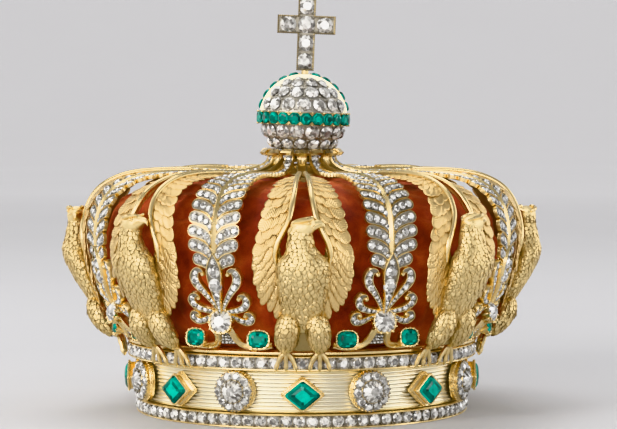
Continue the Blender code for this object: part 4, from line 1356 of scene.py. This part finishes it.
def capSurface():   # the cap's outside, already puffed between the arms and gathered at its foot
    c = cap
    line = smoothLine(c["profile"], c["perStep"])
    count = len(line)
    shape = bmesh.new()
    top = shape.verts.new((0, 0, line[0, 1] * mm))
    rings = []
    for row, (radius, height) in enumerate(line):
        share = row / (count - 1)
        shown = held((radius - c["puffFrom"]) / c["puffOver"]) * held((height - c["hem"]) / c["hemOver"])
        ring = []
        for k in range(c["around"]):
            turn = k * math.tau / c["around"]
            between = (0.5 - 0.5 * math.cos(16 * turn)) ** 0.75
            where = Vector((math.cos(turn) * 2.6, math.sin(turn) * 2.6, share * 3.4))
            fold = noise.noise(where) * 0.65 + noise.noise(where * 2.3 + Vector((7, 1, 3))) * 0.35
            crease = 1.0 - abs(noise.noise(Vector((math.cos(turn) * 6.5, math.sin(turn) * 6.5, share * 1.6))))
            low = max(0.0, 1.0 - abs(height - c["gatherAt"]) / c["gatherReach"])
            gather = math.sin(turn * c["gathers"] + 2.0 * noise.noise(where * 1.7)) * low
            out = shown * (c["swell"] * (between - 0.45) + c["fold"] * fold * 1.5
                           - c["crease"] * max(0.0, crease - 0.93) + c["gather"] * gather)
            slope = min(1.0, radius / 60.0)
            reach = radius + out * slope
            ring.append(shape.verts.new(Vector((reach * math.cos(turn), reach * math.sin(turn),
                                                height + out * (1 - slope) * 0.6)) * mm))
        rings.append(ring)
    for k in range(c["around"]):
        shape.faces.new((top, rings[0][k], rings[0][(k + 1) % c["around"]]))
    for one, two in zip(rings, rings[1:]):
        for k in range(c["around"]):
            n = (k + 1) % c["around"]
            shape.faces.new((one[k], two[k], two[n], one[n]))
    bmesh.ops.recalc_face_normals(shape, faces=shape.faces)
    mesh = bpy.data.meshes.new("velvetCap")
    shape.to_mesh(mesh)
    shape.free()
    return mesh, count


# a short cloth run with a little air under the velvet, then held near its start
def settleCloth(mesh, rows):
    start = np.empty(len(mesh.vertices) * 3)
    mesh.vertices.foreach_get("co", start)
    host = placed("velvetCap", mesh)
    pins = host.vertex_groups.new(name="held")
    around = cap["around"]
    for row in range(rows):
        share = row / (rows - 1)
        strength = 1.0 if share < 0.12 or share > 0.72 else 0.12
        pins.add([1 + row * around + k for k in range(around)], strength, "REPLACE")
    pins.add([0], 1.0, "REPLACE")
    cloth = host.modifiers.new("Cloth", "CLOTH")
    settings = cloth.settings
    for label, value in clothValues.items():
        setattr(settings, label, value)
    settings.effector_weights.gravity = 0.0
    cloth.collision_settings.use_collision = False
    scene = bpy.context.scene
    cloth.point_cache.frame_start, cloth.point_cache.frame_end = 1, 16
    for step in range(1, 17):
        scene.frame_set(step)
    graph = bpy.context.evaluated_depsgraph_get()
    moved = bpy.data.meshes.new_from_object(host.evaluated_get(graph))
    after = np.empty(len(start))
    moved.vertices.foreach_get("co", after)
    shift = (after - start).reshape(-1, 3)
    far = np.linalg.norm(shift, axis=1)
    room = cap["room"] * mm
    shift *= np.where(far > room, room / np.maximum(far, 1e-9), 1.0)[:, None]
    scene.frame_set(1)
    bpy.data.objects.remove(host)
    moved.vertices.foreach_set("co", (start.reshape(-1, 3) + shift).ravel())
    moved.update()
    print("cap settled, largest move mm:", round(float(far.max() / mm), 2))
    return moved


def buildCap():
    mesh, rows = capSurface()
    mesh = settleCloth(mesh, rows)
    mesh.materials.clear()
    mesh.materials.append(velvet)
    mesh.polygons.foreach_set("use_smooth", [True] * len(mesh.polygons))
    host = placed("velvetCap", mesh)
    wall = host.modifiers.new("Wall", "SOLIDIFY")
    wall.thickness = cap["wall"] * mm
    wall.offset = -1.0
    graph = bpy.context.evaluated_depsgraph_get()
    solid = bpy.data.meshes.new_from_object(host.evaluated_get(graph))
    bpy.data.objects.remove(host)
    piece = madePiece("velvetCap", [solid], crownBody, "velvet", "velvet_cap")


def buildHeadband():
    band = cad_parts["leather_headband"]
    band.data.materials.clear()
    band.data.materials.append(leather)


orb = {
    "lean": 2.0, "seat": 77.2, "centre": 13.6, "radius": 12.6, "belt": 14.6, "beltHalf": 1.95,
    # latitude in degrees, radius of the stones
    "upperRows": [(20.0, 2.2), (40.5, 2.15), (59.5, 1.85), (75.0, 1.1)],
    "lowerRows": [(-19.0, 2.25), (-38.5, 1.95), (-56.0, 1.75)],
    "beltCount": 24, "bowHalf": 1.7, "bowCount": 11, "bowOuter": 13.8,
}


def orbPlace(meshes, lift=0.0):
    place = Matrix.Translation((0, 0, orb["seat"] * mm)) @ Matrix.Rotation(math.radians(orb["lean"]), 4,
                                                                           "Y") \
        @ Matrix.Translation((0, 0, lift * mm))
    for mesh in meshes:
        mesh.transform(place)
    return meshes


def ballStones(rows, bowGap):   # rows of round stones on the ball, parted at the bow where there is one
    spots, grains = [], []
    for latitude, size in rows:
        up = math.radians(latitude)
        reach = orb["radius"] * math.cos(up)
        halves = (1, -1) if bowGap else (1,)
        for way in halves:
            if bowGap:
                free = math.asin(min((bowGap + size) / reach, 0.98))
                span = math.pi - 2 * free
                count = max(1, int(span * reach / (2.02 * size)) + 1)
                turns = [way * (free + span * (k / max(count - 1, 1) if count > 1 else 0.5))
                         for k in range(count)]
            else:
                count = int(math.tau * reach / (2.04 * size))
                turns = [k * math.tau / count + latitude for k in range(count)]
            for turn in turns:
                out = Vector((math.cos(turn) * math.cos(up), math.sin(turn) * math.cos(up), math.sin(up)))
                spots.append((tuple(out * (orb["radius"] + 0.18)), tuple(out), (0, 0, 1), size))
                for k in (-1, 1):
                    for j in (-1, 1):
                        near = turn + k * size * 0.98 / reach
                        high = up + j * size * 0.72 / orb["radius"]
                        spot = Vector((math.cos(near) * math.cos(high), math.sin(near) * math.cos(high),
                                       math.sin(high)))
                        grains.append((tuple(spot * (orb["radius"] + 0.15)), tuple(spot), (0, 0, 1), 0.3))
    return spots, grains


def shellProfile(low, high, wall=1.0, bore=1.6, steps=14):
    angles = [math.radians(low + (high - low) * k / steps) for k in range(steps + 1)]
    outer = [(orb["radius"] * math.cos(a), orb["radius"] * math.sin(a)) for a in angles]
    inner = [((orb["radius"] - wall) * math.cos(a), (orb["radius"] - wall) * math.sin(a))
             for a in reversed(angles)]
    return [(max(r, bore), z) for r, z in outer + inner]


def buildOrb():
    c = orb
    edge = math.degrees(math.asin((c["beltHalf"] + 0.1) / c["radius"]))
    for name, node, low, high, rows, gap, seed in (
            ("orbUpperShell", "orb_upper_shell", edge, 83.0, c["upperRows"], c["bowHalf"] - 0.2, 71),
            ("orbLowerShell", "orb_lower_shell", -83.0, -edge, c["lowerRows"], 0.0, 72)):
        shell = turned(name, shellProfile(low, high), 64, orbSilver)
        spots, grains = ballStones(rows, gap)
        stones = copiesAt(name + "Stones", spots, largeStone, diamond, spin=math.pi, tilt=0.07, seed=seed)
        beads = copiesAt(name + "Grains", grains, bead, orbSilver, seed=seed)
        madePiece(name, orbPlace([shell, stones, beads], c["centre"]), orbBody, "diamonds", node)

    outer, half = c["belt"], c["beltHalf"]
    ring = turned("belt", [(outer - 0.5, half), (outer - 0.45, half - 0.2), (outer - 0.85, half - 0.25),
                           (outer - 0.85, 0.25 - half), (outer - 0.45, 0.2 - half), (outer - 0.5, -half),
                           (c["radius"] - 0.5, -half), (c["radius"] - 0.5, half)], 100, dullGoldAndShade)
    gap = math.pi * (outer - 0.5) / c["beltCount"]
    gems = copiesRound("beltEmeralds", c["beltCount"], outer - 0.6, 0.0, squareEmerald,
                       (gap, half + 0.02, 1.5), emerald,
                       phase=0.06, spin=0.05, seed=73)
    beads = [copiesRound(f"beltGrains{k}", c["beltCount"], outer - 0.25, lift * (half - 0.12), bead, 0.32,
                         polishedGold,
                         phase=0.06 + math.pi / c["beltCount"], seed=75) for k, lift in enumerate((-1, 1))]
    madePiece("orbBelt", orbPlace([ring, gems, *beads], c["centre"]), orbBody, "emerald", "orb_emerald_belt")

    start = math.asin((half + 0.25) / c["radius"])
    top = c["bowOuter"]
    shape = bmesh.new()
    rings = []
    for k in range(61):
        a = start + (math.pi - 2 * start) * k / 60
        ray = Vector((math.cos(a), 0, math.sin(a)))
        rings.append([ray * r + Vector((0, y * c["bowHalf"], 0)) for r, y in (
            (c["radius"] - 0.4, -1), (top - 0.12, -1), (top, -0.94), (top, 0.94), (top - 0.12, 1),
            (c["radius"] - 0.4, 1))])
    addLoft(shape, rings)
    bow = newMesh("bow", shape, bandGold)
    spots = []
    span = math.pi - 2 * start
    for k in range(c["bowCount"]):
        a = start + span * (k + 0.5) / c["bowCount"]
        if abs(a - math.pi / 2) < 0.1:
            continue
        ray = (math.cos(a), 0, math.sin(a))
        spots.append((tuple((top + 0.12) * v for v in ray), ray, (0, 1, 0),
                      (span * top / c["bowCount"] * 0.45, c["bowHalf"] * 0.86, 1.6)))
    gems = copiesAt("bowEmeralds", spots, squareEmerald, emerald, seed=76)
    edges = []
    for k in range(1, c["bowCount"]):
        a = start + span * k / c["bowCount"]
        for y in (-1, 1):
            edges.append(((math.cos(a) * (top + 0.1), y * c["bowHalf"] * 0.8, math.sin(a) * (top + 0.1)),
                          (math.cos(a), 0, math.sin(a)), (0, 1, 0), 0.3))
    beads = copiesAt("bowBeads", edges, bead, polishedGold, seed=77)
    madePiece("orbBow", orbPlace([bow, gems, beads], c["centre"]), orbBody, "emerald", "orb_emerald_bow")


cross = {"pitch": 5.7, "foot": 14.9, "halfBar": 2.72, "halfArm": 2.82, "reach": 9.05, "depth": 1.7,
         "stone": 2.55}


def crossOutline(grow):   # the Latin cross, every edge moved outwards by grow
    c = cross
    bar, arm, reach = c["halfBar"] + grow, c["halfArm"] + grow, c["reach"] + grow
    middle = c["foot"] + c["pitch"] * 2.5
    low, high = c["foot"] - grow, c["foot"] + c["pitch"] * 4 + grow
    return [(bar, low), (bar, middle - arm), (reach, middle - arm), (reach, middle + arm),
            (bar, middle + arm), (bar, high),
            (-bar, high), (-bar, middle + arm), (-reach, middle + arm), (-reach, middle - arm),
            (-bar, middle - arm),
            (-bar, low)]


def buildCross():
    c = cross
    levels = [(-0.5, -1.25), (-0.42, -1.6), (-0.2, -c["depth"]), (0.0, -1.45), (0.0, 1.45),
              (-0.2, c["depth"]),
              (-0.42, 1.6), (-0.5, 1.25)]
    shape = bmesh.new()
    addLoft(shape, [[(x, y, z) for x, z in crossOutline(grow)] for grow, y in levels])
    for face in shape.faces:
        if len(face.verts) == 12:
            face.material_index = 1
    peg = turned("peg", [(0.01, 16.5), (1.1, 16.5), (1.1, 10.5), (0.01, 10.5)], 24, polishedGold)
    plate = newMesh("cross", shape, [dullGoldAndShade, settingSilver], corner=30)
    middle = c["foot"] + c["pitch"] * 2.5
    centres = [(0, c["foot"] + c["pitch"] * k) for k in (0.5, 1.5, 2.5, 3.5)] + [(-c["pitch"], middle),
                                                                                 (c["pitch"], middle)]
    stones, grains = [], []
    for side in (-1, 1):
        for x, z in centres:
            size = c["stone"] * (1.06 if (x, z) == (0, middle) else 1.0)
            stones.append(((x, side * 1.42, z), (0, side, 0), (0, 0, 1), size))
            for i in (-1, 1):
                for j in (-1, 1):
                    grains.append(((x + i * 2.12, side * 1.45, z + j * 2.2), (0, side, 0), (0, 0, 1), 0.42))
                    grains.append(((x + i * 1.45, side * 1.45, z + j * 2.35), (0, side, 0), (0, 0, 1), 0.24))
    gems = copiesAt("crossStones", stones, largeStone, diamond, spin=math.pi, tilt=0.04, seed=81)
    beads = copiesAt("crossGrains", grains, fineBead, settingSilver, seed=82)
    outline = crossOutline(-0.16)
    rows = []
    for (ax, az), (bx, bz) in zip(outline, outline[1:] + outline[:1]):
        count = max(2, round(math.hypot(bx - ax, bz - az) / 0.62))
        for k in range(count):
            x, z = ax + (bx - ax) * k / count, az + (bz - az) * k / count
            rows += [((x, side * 1.66, z), (0, side, 0), (0, 0, 1), 0.24) for side in (-1, 1)]
    edge = copiesAt("crossEdge", rows, bead, settingSilver, seed=83)
    madePiece("cross", orbPlace([plate, peg, gems, beads, edge], orb["centre"]), orbBody, "diamonds", "cross")


def buildCrossing():
    low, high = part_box("crossing_boss")
    top, bottom, outer = high[2] / mm, low[2] / mm, high[0] / mm
    boss = turned("crossingBoss", [(1.8, top), (7.4, top), (8.2, top - 0.3), (8.6, top - 0.9),
                                   (9.6, top - 1.5), (11.2, top - 2.2),
                                   (outer - 0.2, bottom + 0.9), (outer, bottom + 0.5), (outer - 0.2, bottom),
                                   (1.8, bottom)],
                  72, polishedGold)
    beads = copiesRound("bossBeads", 48, 8.5, top - 0.6, bead, 0.42, polishedGold, seed=84)
    madePiece("crossingBoss", [boss, beads], crownBody, "polished_gold", "crossing_boss")
    collar = turned("orbCollar", [(4.4, 1.75), (5.4, 1.35), (5.6, 1.0), (6.6, 0.8), (7.0, 0.5), (7.0, 0.15),
                                  (6.8, 0.0), (1.6, 0.0), (1.6, 0.9)], 64, polishedGold)
    madePiece("orbCollar", orbPlace([collar]), orbBody, "polished_gold", "orb_collar")
    for node in ("orb_stud", "orb_washer", "orb_nut"):
        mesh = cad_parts[node].data
        mesh.materials.clear()
        mesh.materials.append(dullGoldAndShade)


buildBand()
print("band done")
buildStoneRim("lowerStoneRim", "lower_stone_rim", circlet["lowerCount"], circlet["lowerStone"], 91)
buildStoneRim("upperStoneRim", "upper_stone_rim", circlet["upperCount"], circlet["upperStone"], 92)
buildLedge()
print("rims and ledge done")
buildClusters()
buildLozenges()
print("circlet settings done")
buildPalmettes()
buildPalmetteFeet()
print("palmettes done")
buildEagles()
print("eagles done")
buildCap()
buildHeadband()
print("cap and headband done")
buildCrossing()
buildOrb()
buildCross()
print("orb and cross done")

for shape in keptShapes:
    bpy.data.objects.remove(shape)


stage = {"rings": (0.3, 0.8, 1.5), "flat": 2.3, "bend": 0.7, "top": 1.7, "around": 96}   # in m


def buildStage():   # a round pale floor that bends up into a wall on every side
    shape = bmesh.new()
    points = [(radius, 0.0) for radius in stage["rings"]]
    for k in range(13):
        a = k * math.pi / 24
        points.append((stage["flat"] + stage["bend"] * math.sin(a), stage["bend"] * (1 - math.cos(a))))
    points.append((stage["flat"] + stage["bend"], stage["top"]))
    count = stage["around"]
    turns = [k * math.tau / count for k in range(count)]
    rows = [[shape.verts.new((r * math.cos(a), r * math.sin(a), z)) for a in turns] for r, z in points]
    shape.faces.new(rows[0])
    for one, two in zip(rows, rows[1:]):
        for k in range(count):
            n = (k + 1) % count
            shape.faces.new((one[k], two[k], two[n], one[n]))
    placed("stageBowl", newMesh("stageBowl", shape, paper, corner=80))


lights = {
    # place, width and height in m, power in W, colour
    "keyLeft": ((-0.85, -0.85, 0.5), 0.5, 0.5, 9.5, (1.0, 0.99, 0.97)),
    "frontSoft": ((-0.3, -1.2, 0.32), 0.9, 0.3, 2.5, (1, 1, 1)),
    "tableGlow": ((-0.1, -0.65, 0.2), 0.6, 0.14, 1.1, (1, 1, 1)),
    "fillRight": ((1.1, -0.3, 0.3), 0.25, 0.6, 3.0, (0.97, 0.98, 1.0)),
    "overhead": ((-0.15, 0.2, 1.0), 0.8, 0.5, 5.5, (1, 1, 1)),
    "backLeft": ((-0.8, 0.4, 0.35), 0.25, 0.6, 1.5, (1, 1, 1)),
    "backRight": ((0.8, 0.4, 0.35), 0.25, 0.6, 1.8, (1, 1, 1)),
}


def aimed(obj, place, target):
    obj.location = place
    obj.rotation_euler = (Vector(target) - Vector(place)).to_track_quat("-Z", "Y").to_euler()
    return obj


buildStage()
for name, (place, width, tall, power, colour) in lights.items():
    light = bpy.data.lights.new(name, "AREA")
    light.shape = "RECTANGLE"
    light.size, light.size_y, light.energy, light.color = width, tall, power, colour
    aimed(placed(name, light), place, (0, 0, 0.055)).visible_camera = False

# the sky is only seen in reflections: its brightness from straight down to straight up
skyStops = [(0.0, 0.30), (0.45, 0.12), (0.55, 0.18), (0.75, 0.45), (1.0, 0.7)]
world = bpy.data.worlds.new("studio")
world.use_nodes = True
tree = world.node_tree
sky = tree.nodes["Background"]
way = tree.nodes.new("ShaderNodeTexCoord").outputs["Generated"]
height = addNode(tree, "ShaderNodeSeparateXYZ", {0: way})
lifted = mathNode(tree, "MULTIPLY_ADD", height.outputs["Z"], 0.5, 0.5)
link(tree, rampNode(tree, lifted, skyStops), sky.inputs[0])
sky.inputs[1].default_value = 0.6
bpy.context.scene.world = world
bpy.context.scene.view_settings.view_transform = "Khronos PBR Neutral"

camera = bpy.data.cameras.new("camera")
camera.lens, camera.sensor_width = 151.15, 36.0
camera.clip_start, camera.clip_end = 0.01, 20.0
bpy.context.scene.camera = aimed(placed("camera", camera), (-0.0036, -0.8092, 0.1018), (0.0021, 0.0, 0.0607))
print("stage, light and camera done")
